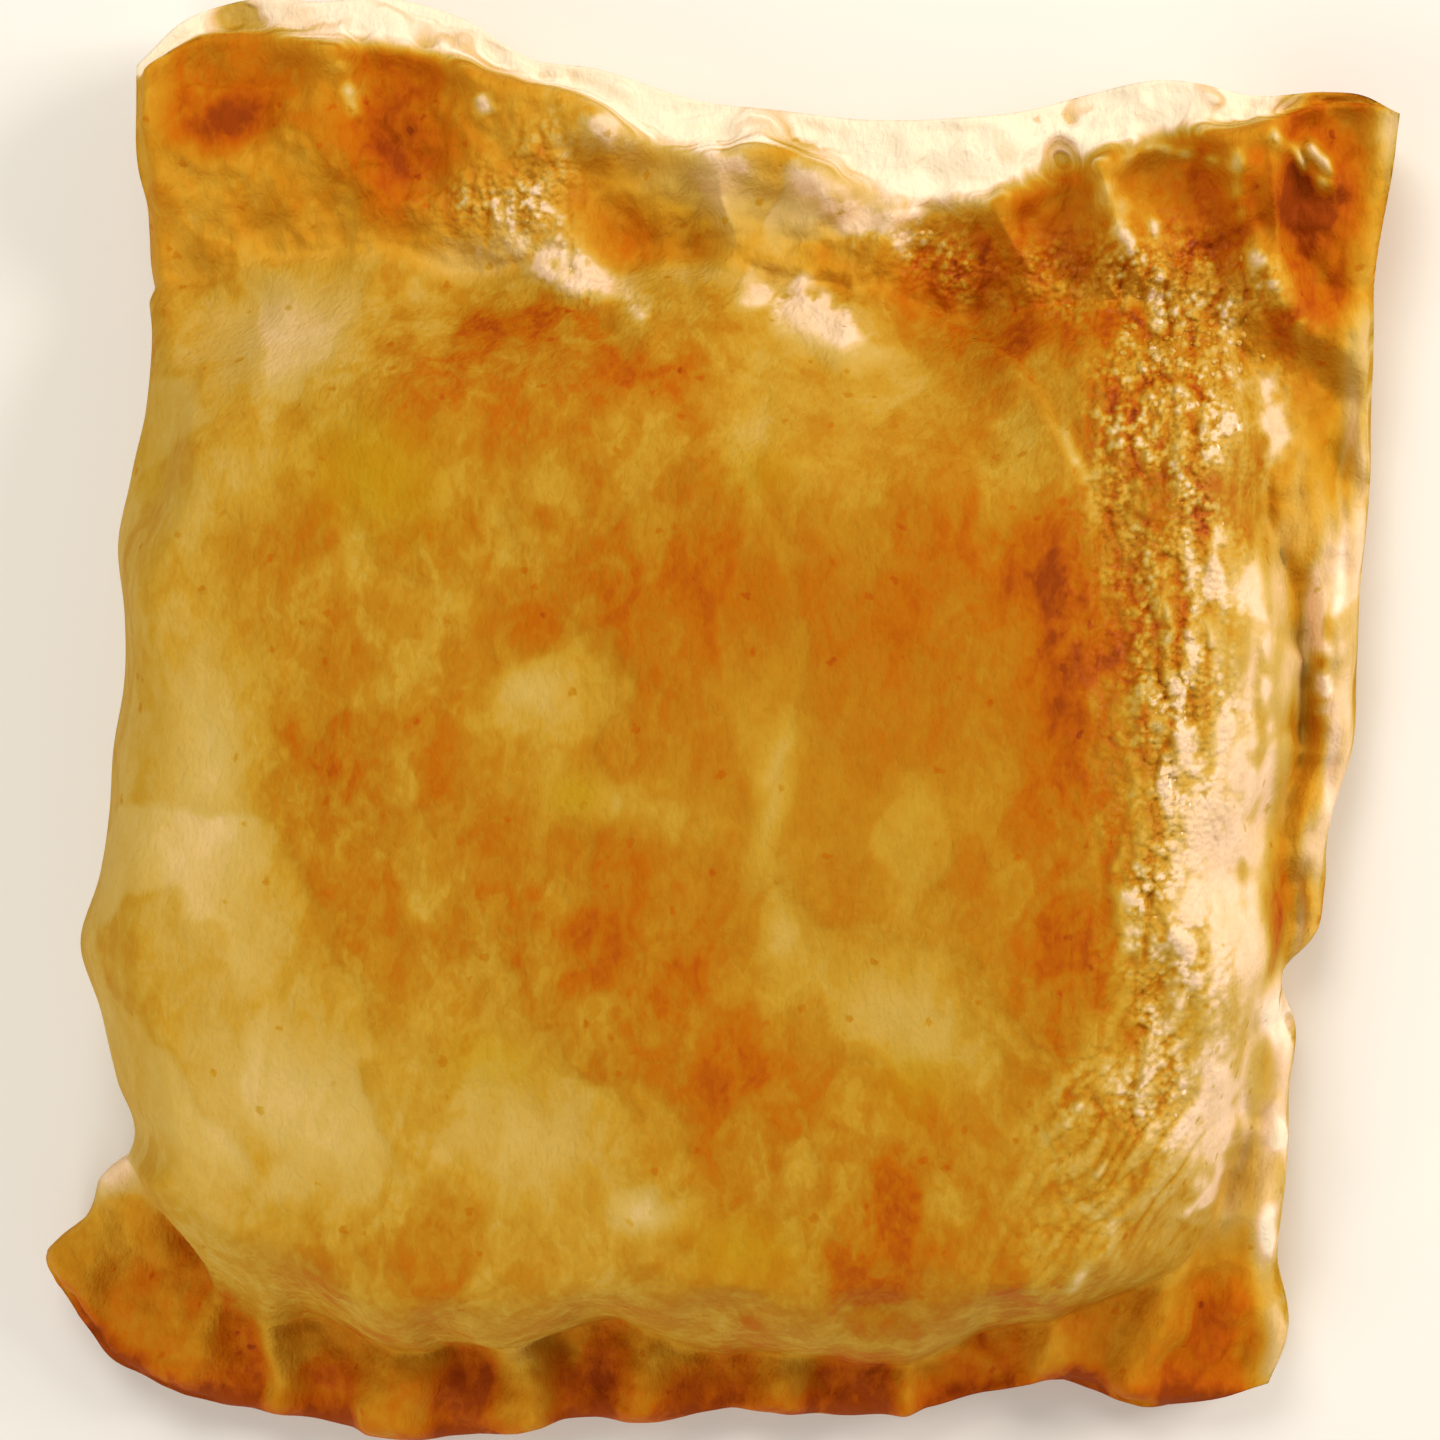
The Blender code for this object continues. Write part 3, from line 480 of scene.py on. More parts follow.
# blistered skin: middle across, middle up, half-width, half-length, turn, how strong
blisteredSpots = {
    "shoulder": (39.5, 22.0, 6.5, 21.0, 0.06, 1.0),
    "shoulderHead": (42.0, 36.0, 7.5, 6.0, 0.0, 0.8),
    "lowerShoulder": (41.5, -6.0, 5.0, 14.0, 0.0, 0.6),
    "lowRight": (41.0, -30.0, 6.0, 14.0, -0.3, 0.6),
    "cornerRim": (42.0, 46.0, 6.0, 3.6, 0.0, 0.7),
    "upperRim": (22.5, 46.0, 14.0, 3.6, -0.1, 0.8),
    "leftRim": (-21.5, 51.0, 4.5, 6.0, -0.5, 0.8),
    "leftRimLow": (-29.0, 48.0, 6.0, 3.0, 0.0, 0.35),
    "tornFlake": (-14.0, 41.0, 8.0, 2.6, -0.4, 0.5),
    "paleFlake": (6.0, 40.5, 6.0, 2.6, -0.3, 0.5),
    "faceDots": (-28.9, 32.8, 6.0, 4.0, 0.0, 0.25),
}
blisterPatches = (0.9, 3.0, 7.0, 0.1, 14.5)   # strength, across, along, turn, seed
slantSpot = (41.5, -32.0, 8.0, 16.0, -0.25)
streakSpots = {"flank": (50.0, -4.0, 4.5, 30.0, 0.03, 1.0), "rim": (56.5, 0.0, 3.0, 34.0, 0.0, 1.0)}


def noiseField(x, y, sizeX, sizeY=None, turn=0.0, seed=0.0):
    sizeY = sizeY or sizeX
    cos, sin = math.cos(turn), math.sin(turn)
    across, along = (x * cos + y * sin) / sizeX, (y * cos - x * sin) / sizeY
    return np.array([noise.noise((a, b, seed)) for a, b in zip(across.tolist(), along.tolist())])


def nearestPoint(x, y, size, seed):   # distance to the nearest of scattered points, as a share of the size
    points = zip((x / size).tolist(), (y / size).tolist())
    return np.array([noise.voronoi((a, b, seed))[0][0] for a, b in points])


def bubbleField(x, y, size, seed):   # rounded cells, 1 in the middle of each
    return np.sqrt(np.clip(1 - (nearestPoint(x, y, size, seed) / relief["bubbleRadius"]) ** 2, 0, 1))


def bend(x, y, name):
    reach, size, seed = bends[name]
    return reach * noiseField(x, y, size, seed=seed)


def broken(x, y, name):
    least, strength, size, seed, most = breaks[name]
    return np.clip(least + strength * noiseField(x, y, size, seed=seed), 0, most)


def blistered(x, y):
    strength, *shape = blisterPatches
    return np.clip(spotsAt(x, y, blisteredSpots) * (1.0 + strength * noiseField(x, y, *shape)), 0, 1)


def onRim(x, y):
    return 1 - smoothStep(*relief["rimEnds"], pocket(x, y))


def peeled(x, y):   # 1 where the browned top layer is whole, 0 where it has come off
    bentX, bentY = x + bend(x, y, "peelAcross"), y + bend(x, y, "peelUp")
    length = peel["size"] * peel["stretch"]
    patches = noiseField(bentX, bentY, peel["size"], length, peel["turn"], peel["seed"])
    return smoothStep(-peel["edge"], peel["edge"], patches + peel["more"])


def foldsAt(x, y):   # height of the raised wrinkles, and how much paler they are, partly by painted highlight
    raised, paler = np.zeros(np.shape(x)), np.zeros(np.shape(x))
    bentX, bentY = x + bend(x, y, "foldAcross"), y + bend(x, y, "foldUp")
    whole = broken(x, y, "folds")
    for group in skinFolds.values():
        for height, halfWidth, pale, points in group:
            away, share = distanceToLine(bentX, bentY, points)
            raised = np.maximum(raised, softLine(height, away / halfWidth / foldLook["width"], share))
            paler = np.maximum(paler, softLine(pale, away / halfWidth / foldLook["paleWidth"], share))
    return foldLook["height"] * raised * (0.5 + 0.5 * whole), foldLook["pale"] * paler * whole


def paleAndLitBubbleTops(x, y):   # 0 between the blisters, 1 on top of them, where they are paler, partly by painted highlight
    tops = sum(share * bubbleField(x, y, size, seed) for _, size, seed, share in relief["bubbles"])
    return smoothStep(*relief["paleAndLitBubbleTop"], tops) * broken(x, y, "bubbles")


def fineRelief(x, y):   # of the blistered skin only
    rough = blistered(x, y)
    bubbles = relief["bubbles"]
    return sum(height * rough * (bubbleField(x, y, size, seed) - 0.5) for height, size, seed, _ in bubbles)


def rounded(x, y, shape):   # rounded wrinkles with narrow creases between
    blunt, level = relief["roundFolds"]
    return np.sqrt(np.abs(noiseField(x + bend(x, y, "shoulder"), y, *shape)) + blunt) - level


def shoulderFolds(x, y):   # shape only, from about -0.35 in the creases to 0.25 on the folds
    return blistered(x, y) * rounded(x, y, relief["folds"][1:])


def slantFolds(x, y):
    return softSpot(x, y, slantSpot) * rounded(x, y, relief["slantFolds"][1:])


def streaksAt(x, y):   # where the long wrinkles of the right side are, and their height from -1 to 1
    share = np.clip(spotsAt(x, y, streakSpots), 0, 1)
    return share, 2 * noiseField(x + bend(x, y, "streaks"), y, *relief["streaks"][1:])


# finer sheets that carry the blistered skin, over the right shoulder and the upper rim
skinSheets = {
    "step": 0.18,                              # mm between its points
    "shoulder": (29.5, 51.0, -45.0, 40.5),     # left, right, low, high
    "upperRim": (-57.5, 57.0, 39.0, -0.4),     # left, right, low; how far past the brow it ends
    "upperRimWidth": 17.0,                     # roughly, for the number of its rows
    "border": (2.2, 0.06),                     # width over which it comes out of the crust, from how deep
}


def inside(x, y, left, right, low, high):   # distance in from the nearest side of a sheet
    return np.minimum(np.minimum(x - left, right - x), np.minimum(y - low, high - y))


def upperRimSides(x):
    left, right, low, past = skinSheets["upperRim"]
    return left, right, low, browLine(x) + past


def skinCover(x, y):   # 1 where the finer skin lies over the crust
    width = skinSheets["border"][0]
    onFirst, onSecond = inside(x, y, *skinSheets["shoulder"]), inside(x, y, *upperRimSides(x))
    return smoothStep(width, 2 * width, np.maximum(onFirst, onSecond))


def smallRelief(x, y):
    total = sum(height * noiseField(x, y, size, seed=seed) for height, size, seed in relief["grain"])
    height, size, seed, radius = relief["pimples"]
    total += height * np.clip(1 - (nearestPoint(x, y, size, seed) / radius) ** 2, 0, 1)
    total += relief["folds"][0] * shoulderFolds(x, y) + relief["slantFolds"][0] * slantFolds(x, y)
    share, streak = streaksAt(x, y)
    total += relief["streaks"][0] * share * streak
    for height, size, seed in relief["rimCrumple"]:
        total += height * onRim(x, y) * noiseField(x, y, size, seed=seed)
    total += peel["thickness"] * (peeled(x, y) - peel["level"])
    for depth, halfWidth, points in cracks.values():
        away, share = distanceToLine(x + bend(x, y, "cracks"), y, points)
        total -= softLine(depth, away / halfWidth, share)
    return total + foldsAt(x, y)[0]


# browning: 0 pale dough, 0.5 golden, 1 dark brown; some terms below are painted highlight and painted shade,
# said where they stand
browning = {
    "start": 0.57,
    "palest": 0.13,                  # anywhere but on the outer slope
    "crimpFloor": (0.14, 0.19, 0.10),   # of the upper, lower and right rim
    "crimpDepth": (0.4, 2.4),        # mm pressed in where it starts, and where it is full
    "crimpFlank": (0.05, 0.5),       # how far up the flank it goes, as the pocket's share
    "upperRim": (30, 40),            # heights between which the lower rim's browning turns the upper's
    "rightRim": ((40, 46), (-52, -46)),
    "lip": (-0.60, 0.55, 1.1),       # paler outer slope of the top side, partly its unglazed cut edge, partly painted light from behind: amount, and shares of the slope between which it ends
    "lipEnd": (46.0, 53.0),
    "rightEdge": (-0.30, 1.2, 3.6),  # paler near the right edge, partly pale dough, partly painted light from the right: amount, and mm from the edge between which it ends
    # browner near the bottom edge: painted shade on the side turned from the light; amount, and mm from the
    # edge between which it ends
    "bottomEdge": (0.20, 0.5, 3.0),
    "ribTop": -0.07,
    # bubble tops paler: partly their own colour, partly painted highlight
    "paleAndLitBubbleTop": -0.50,
    "paleAndLitBlister": 0.21,                 # how much paler the raised blisters are, partly their own colour, partly painted highlight
    "peeled": 0.09,
    "streak": 0.20,
    "foldHighlightAndShade": -0.62,                # paler on the folds, browner in the creases: painted highlight on the folds, painted shade in the creases
    # the same painted highlight and painted shade on the slanting folds
    "slantHighlightAndShade": -0.50,
    "underside": 0.62,
}
# middle across, middle up, half-width, half-length, turn, how much darker
brownSpots = {
    "paleFoldSide": (-46.6, -9.2, 6.8, 30.0, 0.08, -0.26),
    "paleUpperLeft": (-43.5, 21.4, 5.0, 4.1, 0.08, -0.14),
    "paleFoldMiddle": (-45.4, -5.4, 4.1, 8.2, 0.08, -0.06),
    "paleLowerLeft": (-32.5, -36.8, 17.3, 9.6, 0.08, -0.22),
    "paleMiddleSpot": (-16.2, 3.6, 3.8, 3.1, 0.08, -0.22),
    "paleMiddleStreak": (-5.7, -6.8, 6.8, 2.3, -0.19, -0.16),
    "paleLongStreak": (6.4, -4.7, 1.8, 8.6, -0.17, -0.22),
    "paleShortStreak": (7.9, -16.5, 1.7, 3.8, 0.08, -0.16),
    "paleBlister": (-1.7, -43.7, 4.2, 2.7, 0.08, -0.3),
    "paleLowRight": (18.7, -23.8, 7.3, 4.7, -0.27, -0.18),
    "paleHighMiddle": (4.0, 28.6, 5.5, 4.4, -0.45, -0.18),
    "paleHighRight": (16.8, 33.1, 5.6, 6.1, 0.08, -0.14),
    # painted highlights where the flakes at the top of the face catch the light
    "paintedHighlightTopFlake": (5.5, 39.4, 6.0, 2.5, -0.36, -0.42),
    "paintedHighlightFlakeFoot": (-4.8, 43.0, 5.7, 1.7, -0.10, -0.2),
    "paintedHighlightTornFlake": (-16.0, 42.9, 5.9, 1.4, -0.45, -0.34),
    "paleUpperFace": (-42.2, 34.9, 12.2, 5.6, 0.08, -0.13),
    "paleLowMiddle": (-12.3, -38.7, 5.0, 6.4, 0.08, -0.12),
    "paleRightOfCentre": (18.0, -8.3, 5.4, 5.0, 0.08, -0.08),
    # painted highlight down the right flank, which faces the light
    "paintedHighlightFlankBand": (48.6, -2.0, 3.6, 24.0, 0.06, -0.38),
    "paintedHighlightLowFlank": (48.6, -32.0, 3.4, 14.1, 0.10, -0.28),
    "paleShoulderFoot": (43.5, -6.5, 3.6, 8.5, 0.08, -0.36),
    # the right rim paler: partly pale dough, partly painted light from the right
    "paleRightRim": (53.6, 6.0, 2.4, 20.0, 0.0, -0.32),
    "paleLowRim": (53.2, -34.0, 2.4, 12.0, 0.0, -0.28),
    "goldenRightRim": (53.5, 18.4, 1.3, 3.6, 0.0, 0.16),
    "goldenRimSlot": (54.6, 3.0, 1.2, 4.5, 0.0, 0.14),
    "goldenRightEdge": (57.2, -2.0, 1.1, 8.0, 0.0, 0.08),
    # painted shade: the hollow below the upper right corner made a deeper orange
    "paintedShadeCornerHollow": (50.0, 42.0, 4.6, 5.4, 0.0, 0.34),
    # painted light: the upper rim made paler, as if lit from behind
    "paintedLightRimMiddle": (4.0, 50.8, 15.0, 4.6, -0.12, -0.32),
    "paintedLightRimLeft": (-10.0, 51.6, 8.5, 4.0, -0.35, -0.26),
    "brownLeftCorner": (-44.0, 48.0, 12.0, 5.5, 0.0, 0.12),
    "paleFarUpper": (-44.0, 33.0, 11.0, 8.0, 0.0, -0.16),
    "brownFace": (6.0, 2.0, 26.0, 30.0, 0.0, 0.02),
    # painted highlight on the glossy fold that bridges the flank
    "paintedHighlightBridge": (47.7, 17.9, 4.1, 2.4, 0.08, -0.30),
    "paleRightEdge": (56.6, 34.2, 2.1, 8.7, 0.08, -0.04),
    # painted highlight on the fold's flattened edge at the lower left corner
    "paintedHighlightFarCorner": (-57.2, -46.5, 3.4, 3.4, 0.77, -0.4),
    "goldenLowRibs": (-24.0, -61.5, 26.0, 3.2, 0.04, -0.07),
    "paleFoldEdge": (-57.0, -8.0, 5.0, 36.0, 0.02, -0.16),
    "paleLowerRight": (39.4, -37.8, 5.5, 8.2, -0.27, -0.08),
    "paleBump": (54.5, -23.4, 1.5, 2.9, 0.08, -0.4),
    "paleEdgeStrips": (56.8, 12.4, 1.2, 10.5, 0.08, -0.2),
    "orangeUnderFlake": (-21.5, 36.9, 5.8, 3.2, 0.08, 0.18),
    "brownDotsUpper": (-28.9, 32.8, 5.5, 4.2, 0.08, 0.1),
    "brownHighStreak": (-12.0, 23.7, 3.6, 8.6, 0.08, 0.12),
    "orangeByFlake": (-7.9, 33.2, 5.1, 3.7, 0.08, 0.2),
    "brownByFold": (-35.8, -5.9, 4.1, 6.8, 0.08, 0.12),
    "brownFoldStreak": (-33.6, 7.5, 4.5, 3.6, 0.08, 0.08),
    "brownCentre": (3.6, 13.2, 15.3, 8.6, 0.08, 0.12),
    "brownRightCentre": (17.1, 8.8, 8.1, 8.1, 0.08, 0.06),
    "brownRightOfCentre": (28.5, 17.4, 6.0, 5.4, 0.08, 0.27),
    "brownRightBand": (31.5, 3.7, 4.2, 12.0, 0.08, 0.17),
    "brownLeftOfCentre": (-12.4, -16.3, 7.7, 6.8, 0.08, 0.12),
    "pinkLeftOfCentre": (-20.1, -11.0, 4.5, 5.4, 0.08, 0.06),
    "brownSpotLow": (-1.7, -21.8, 5.6, 3.6, 0.29, 0.15),
    "brownDotLow": (4.6, -30.1, 3.1, 3.1, 0.08, 0.16),
    "brownLowRight": (32.8, -18.4, 5.6, 8.6, -0.10, 0.11),
    "brownLowMiddle": (21.2, -44.0, 11.5, 6.0, 0.08, 0.12),
    # painted shade in the crevice between the right flank and the rim
    "paintedShadeRimCrevice": (53.9, -5.0, 1.3, 13.0, 0.0, 0.18),
    "orangeFarRim": (-47.0, -59.0, 9.0, 3.6, 0.4, -0.02),
    "goldenRimJoin": (-28.0, 42.5, 6.0, 3.0, 0.0, -0.22),
    "brownCornerRim": (44.0, 47.0, 8.0, 6.0, 0.0, 0.16),
    "brownUpperShoulder": (23.2, 40.0, 5.9, 4.6, 0.08, 0.22),
    "brownShoulder": (36.2, 22.9, 6.0, 21.0, 0.01, 0.17),
    "brownTopRim": (22.6, 47.5, 14.3, 3.8, 0.16, 0.20),
    "redLeftCorner": (-51.0, 54.7, 5.5, 2.8, 0.29, 0.36),
    "brownLeftRim": (-34.9, 52.9, 4.8, 6.7, 0.08, 0.16),
    "redRightCorner": (50.4, 54.4, 4.0, 4.4, 0.08, 0.44),
    "redLowCorner": (51.3, -53.3, 3.9, 4.1, 0.08, 0.06),
    "brownLowerRim": (-3.2, -64.7, 49.8, 2.5, 0.08, 0.16),
}
oliveSpots = {
    "oliveUpperLeft": (-32.3, 21.8, 6.3, 5.0, -0.53, 0.9),
    "oliveMiddle": (-11.8, -5.7, 2.3, 1.8, 0.08, 0.9),
    "oliveLow": (-17.9, -31.5, 3.3, 2.9, 0.08, 0.8),
    "oliveLowRight": (20.9, -28.8, 3.1, 3.6, 0.08, 0.5),
    "oliveBlister": (6.7, -46.3, 5.0, 3.3, 0.08, 0.6),
    "oliveFoldTop": (-55.6, 21.7, 2.2, 5.6, 0.08, 0.5),
    "oliveTopMiddle": (-6.9, 49.7, 6.7, 2.1, -0.36, 0.3),
    "oliveHighMiddle": (2.7, 24.8, 3.3, 2.5, 0.08, 0.4),
    "oliveRightRim": (55.3, 32.2, 1.7, 5.3, 0.08, 0.4),
    "oliveShoulder": (46.9, 35.1, 1.1, 4.3, 0.08, 0.3),
    "oliveFarRim": (17.8, -55.9, 3.7, 1.9, 0.08, 0.3),
}


def browningAt(x, y):
    value = spotsAt(x, y, brownSpots, browning["start"])
    rimShare = onRim(x, y)
    pressed, puffed = crimps(x, y)
    upper, lower, right = browning["crimpFloor"]
    rightAcross, rightUp = browning["rightRim"]
    others = lower + (right - lower) * smoothStep(*rightAcross, x) * smoothStep(*rightUp, y)
    floor = others + (upper - others) * smoothStep(*browning["upperRim"], y)
    lowFlank = np.maximum(rimShare, 1 - smoothStep(*browning["crimpFlank"], pocket(x, y)))
    value += floor * smoothStep(*browning["crimpDepth"], pressed) * lowFlank
    value += browning["ribTop"] * puffed / form["ribPuff"] * rimShare
    value += browning["peeled"] * (peeled(x, y) - 0.5)
    # bubble tops paler, partly painted highlight
    value += browning["paleAndLitBubbleTop"] * blistered(x, y) * paleAndLitBubbleTops(x, y)
    # raised folds paler, partly painted highlight
    value -= foldsAt(x, y)[1]
    # painted highlight on the folds' tops, painted shade in their creases
    value += browning["foldHighlightAndShade"] * shoulderFolds(x, y) + browning["slantHighlightAndShade"] * slantFolds(x, y)
    share, streak = streaksAt(x, y)
    value += browning["streak"] * share * streak
    value = np.maximum(value, browning["palest"])
    away = inward(x, y)
    # the top side's outer slope paler, partly its unglazed cut edge, partly painted light from behind
    amount, *fade = browning["lip"]
    lip = 1 - smoothStep(*fade, away["top"] / through(topSlope, x))
    value += amount * (lip * (1 - smoothStep(*browning["lipEnd"], x)))
    # paler near the right edge, partly painted light; browner near the bottom edge, painted shade
    for side in ("right", "bottom"):
        amount, *fade = browning[side + "Edge"]
        value += amount * (1 - smoothStep(*fade, away[side]))
    return value


crustLook = {
    "colours": (             # browning, colour as it looks in full light
        (0.00, (250, 235, 208)),
        (0.12, (238, 206, 170)),
        (0.22, (218, 185, 124)),
        (0.32, (200, 167, 84)),
        (0.45, (190, 147, 44)),
        (0.56, (181, 127, 26)),
        (0.66, (177, 113, 17)),
        (0.77, (178, 98, 7)),
        (0.88, (169, 80, 7)),
        (1.00, (140, 58, 9)),
    ),
    "olive": ((184, 146, 16), 0.7),   # colour of the unbaked-looking spots, how strong
    "glow": (1.15, 1.05, 0.9),        # how the rim's hollows are warmed by their own reflected light
    "mottling": ((7.0, 0.18), (3.0, 0.18), (0.9, 0.09)),   # size in mm, how strong
    "mottlingEdge": (0.38, 0.62),                          # nearer each other: sharper patches
    "mottlingDetail": (3, 0.7),                            # detail, distortion
    "patchForm": (0.6, -0.25),                             # width as a share of the length, turn
    "patchy": (2.2, -0.62, 0.15, 0.9),      # how it grows with the browning, from where, least, most
    "patchyRim": 0.35,                                     # how much weaker it is on the rim
    "evenCentre": (10.0, 2.0, 22.0, 26.0, 0.0, 0.6),       # a spot where it is weaker
    "marks": (3.4, 0.07, 0.154, 0.14),      # spacing of small brown marks, size, where they end, how dark
    "marksBent": (0.9, 1.2),                # mm over which they are bent, how far
    "layers": (0.8, 14.0, 1.1),             # thickness and length of the sheets at the edge, how dark between
    "layersLevel": 0.42,
    "roughness": (0.54, 0.80),
    "coat": (0.0, 0.18),                    # on the matt face, on the blistered skin
    "coatRoughness": 0.28,
    "specular": 0.08,
    "specularTint": (1.0, 0.74, 0.34),
    "grain": (0.45, 2),                     # size in mm, detail
    "skinBump": (0.16, 0.9, 0.9, -5.0),     # height in mm, strength, share of the patches, of the layers
    "bubbleBump": (0.30, 0.62, 0.5, 0.7),   # height, size in mm, smoothness, level
}


def linear(colour):
    return tuple(((c / 255 + 0.055) / 1.055) ** 2.4 for c in colour) + (1.0,)


def newNode(tree, kind, inputs=None, **settings):   # an input is a value, or another node's output
    made = tree.nodes.new(kind)
    column, row = len(tree.nodes) % 9, len(tree.nodes) // 9
    made.location = (220 * column, -320 * row)
    for name, value in settings.items():
        setattr(made, name, value)
    for name, value in (inputs or {}).items():
        if isinstance(value, bpy.types.NodeSocket):
            tree.links.new(value, made.inputs[name])
        else:
            made.inputs[name].default_value = value
    return made


def maths(tree, operation, *values, **settings):
    inputs = dict(enumerate(values))
    return newNode(tree, "ShaderNodeMath", inputs, operation=operation, **settings).outputs["Value"]


def eased(tree, value, fromRange, toRange, interpolation="SMOOTHSTEP"):   # one range of values to another
    inputs = dict(zip(("From Min", "From Max", "To Min", "To Max"), (*fromRange, *toRange)))
    made = newNode(tree, "ShaderNodeMapRange", {"Value": value, **inputs}, interpolation_type=interpolation)
    return made.outputs["Result"]


def noiseNode(tree, vector, size, output="Fac", **inputs):
    inputs.update({"Vector": vector, "Scale": 1 / size})
    return newNode(tree, "ShaderNodeTexNoise", inputs).outputs[output]


def mottledSkin(tree, along, patchy):   # soft brown patches in three sizes, and the finest of them
    detail, distortion = crustLook["mottlingDetail"]
    mottled = 0.0
    for size, strength in crustLook["mottling"]:
        fine = noiseNode(tree, along, size * mm, Detail=detail, Distortion=distortion)
        patches = eased(tree, fine, crustLook["mottlingEdge"], (-strength / 2, strength / 2))
        mottled = maths(tree, "ADD", patches, mottled)
    return maths(tree, "MULTIPLY", mottled, patchy), fine


def smallMarks(tree, place):
    spacing, size, end, depth = crustLook["marks"]
    bentOver, bentBy = crustLook["marksBent"]
    wander = noiseNode(tree, place, bentOver * mm, "Color")
    by = (bentBy * mm, bentBy * mm, 0.0)
    bent = newNode(tree, "ShaderNodeVectorMath", {0: wander, 1: by, 2: place}, operation="MULTIPLY_ADD")
    inputs = {"Scale": 1 / (spacing * mm), "Vector": bent.outputs["Vector"]}
    marks = newNode(tree, "ShaderNodeTexVoronoi", inputs)
    return eased(tree, marks.outputs["Distance"], (size, end), (depth, 0.0))


def edgeLayers(tree, place, share):   # the thin sheets that show where the rim is cut
    thickness, length, _ = crustLook["layers"]
    scale = (1 / (length * mm), 1 / (length * mm), 1 / (thickness * mm))
    flat = newNode(tree, "ShaderNodeVectorMath", {0: place, 1: scale}, operation="MULTIPLY")
    sheet = noiseNode(tree, flat.outputs["Vector"], 1.0, Detail=2.0)
    return maths(tree, "MULTIPLY", maths(tree, "SUBTRACT", sheet, crustLook["layersLevel"]), share)


def bakedColour(tree, browned, fields):
    ramp = newNode(tree, "ShaderNodeValToRGB", {"Fac": browned})
    ramp.color_ramp.interpolation = "LINEAR"
    stops = ramp.color_ramp.elements
    for i, (at, colour) in enumerate(crustLook["colours"]):
        stop = stops[i] if i < 2 else stops.new(at)
        stop.position = at
        stop.color = linear(colour)
    olive, strength = crustLook["olive"]
    share = maths(tree, "MULTIPLY", fields["olive"], strength)
    inputs = {"Factor": share, "A": ramp.outputs["Color"], "B": linear(olive)}
    tint = newNode(tree, "ShaderNodeMix", inputs, data_type="RGBA")
    inputs = {"Factor": fields["warm"], "A": tint.outputs["Result"], "B": (*crustLook["glow"], 1.0)}
    return newNode(tree, "ShaderNodeMix", inputs, data_type="RGBA", blend_type="MULTIPLY").outputs["Result"]


def crustNormal(tree, along, place, rough, fine, sheets):
    height, strength, fineShare, sheetShare = crustLook["skinBump"]
    size, detail = crustLook["grain"]
    skin = maths(tree, "MULTIPLY_ADD", fine, fineShare, noiseNode(tree, along, size * mm, Detail=detail))
    skin = maths(tree, "MULTIPLY_ADD", sheets, sheetShare, skin)
    inputs = {"Distance": height * mm, "Strength": strength, "Height": skin}
    skinBump = newNode(tree, "ShaderNodeBump", inputs).outputs["Normal"]
    height, size, smoothness, level = crustLook["bubbleBump"]
    bubbles = newNode(tree, "ShaderNodeTexVoronoi", feature="SMOOTH_F1", voronoi_dimensions="2D", inputs={
        "Scale": 1 / (size * mm), "Smoothness": smoothness, "Vector": place})
    raised = maths(tree, "MULTIPLY", maths(tree, "SUBTRACT", level, bubbles.outputs["Distance"]), rough)
    inputs = {"Distance": height * mm, "Height": raised, "Normal": skinBump}
    return newNode(tree, "ShaderNodeBump", inputs).outputs["Normal"]


def crustMaterial():
    material = bpy.data.materials.new("bakedCrust")
    material.use_nodes = True
    tree = material.node_tree
    fields = {
        name: newNode(tree, "ShaderNodeAttribute", attribute_name=name).outputs["Fac"]
        for name in ("browning", "olive", "rough", "patchy", "layers", "warm")
    }
    place = newNode(tree, "ShaderNodeTexCoord").outputs["Object"]
    width, turn = crustLook["patchForm"]
    inputs = {"Vector": place, "Rotation": (0.0, 0.0, turn), "Scale": (1.0, width, 1.0)}
    along = newNode(tree, "ShaderNodeMapping", inputs).outputs["Vector"]
    mottled, fine = mottledSkin(tree, along, fields["patchy"])
    mottled = maths(tree, "ADD", mottled, smallMarks(tree, place))
    sheets = edgeLayers(tree, place, fields["layers"])
    mottled = maths(tree, "MULTIPLY_ADD", sheets, crustLook["layers"][2], mottled)
    browned = maths(tree, "ADD", mottled, fields["browning"])
    normal = crustNormal(tree, along, place, fields["rough"], fine, sheets)
    shader = tree.nodes["Principled BSDF"]
    inputs = {
        "Base Color": bakedColour(tree, browned, fields),
        "Roughness": eased(tree, fine, (0.0, 1.0), crustLook["roughness"], "LINEAR"),
        "Coat Weight": eased(tree, fields["rough"], (0.0, 1.0), crustLook["coat"], "LINEAR"),
        "Normal": normal,
        "Coat Normal": normal,
    }
    for name, value in inputs.items():
        tree.links.new(value, shader.inputs[name])
    shader.inputs["Specular IOR Level"].default_value = crustLook["specular"]
    shader.inputs["Specular Tint"].default_value = (*crustLook["specularTint"], 1.0)
    shader.inputs["Coat Roughness"].default_value = crustLook["coatRoughness"]
    return material


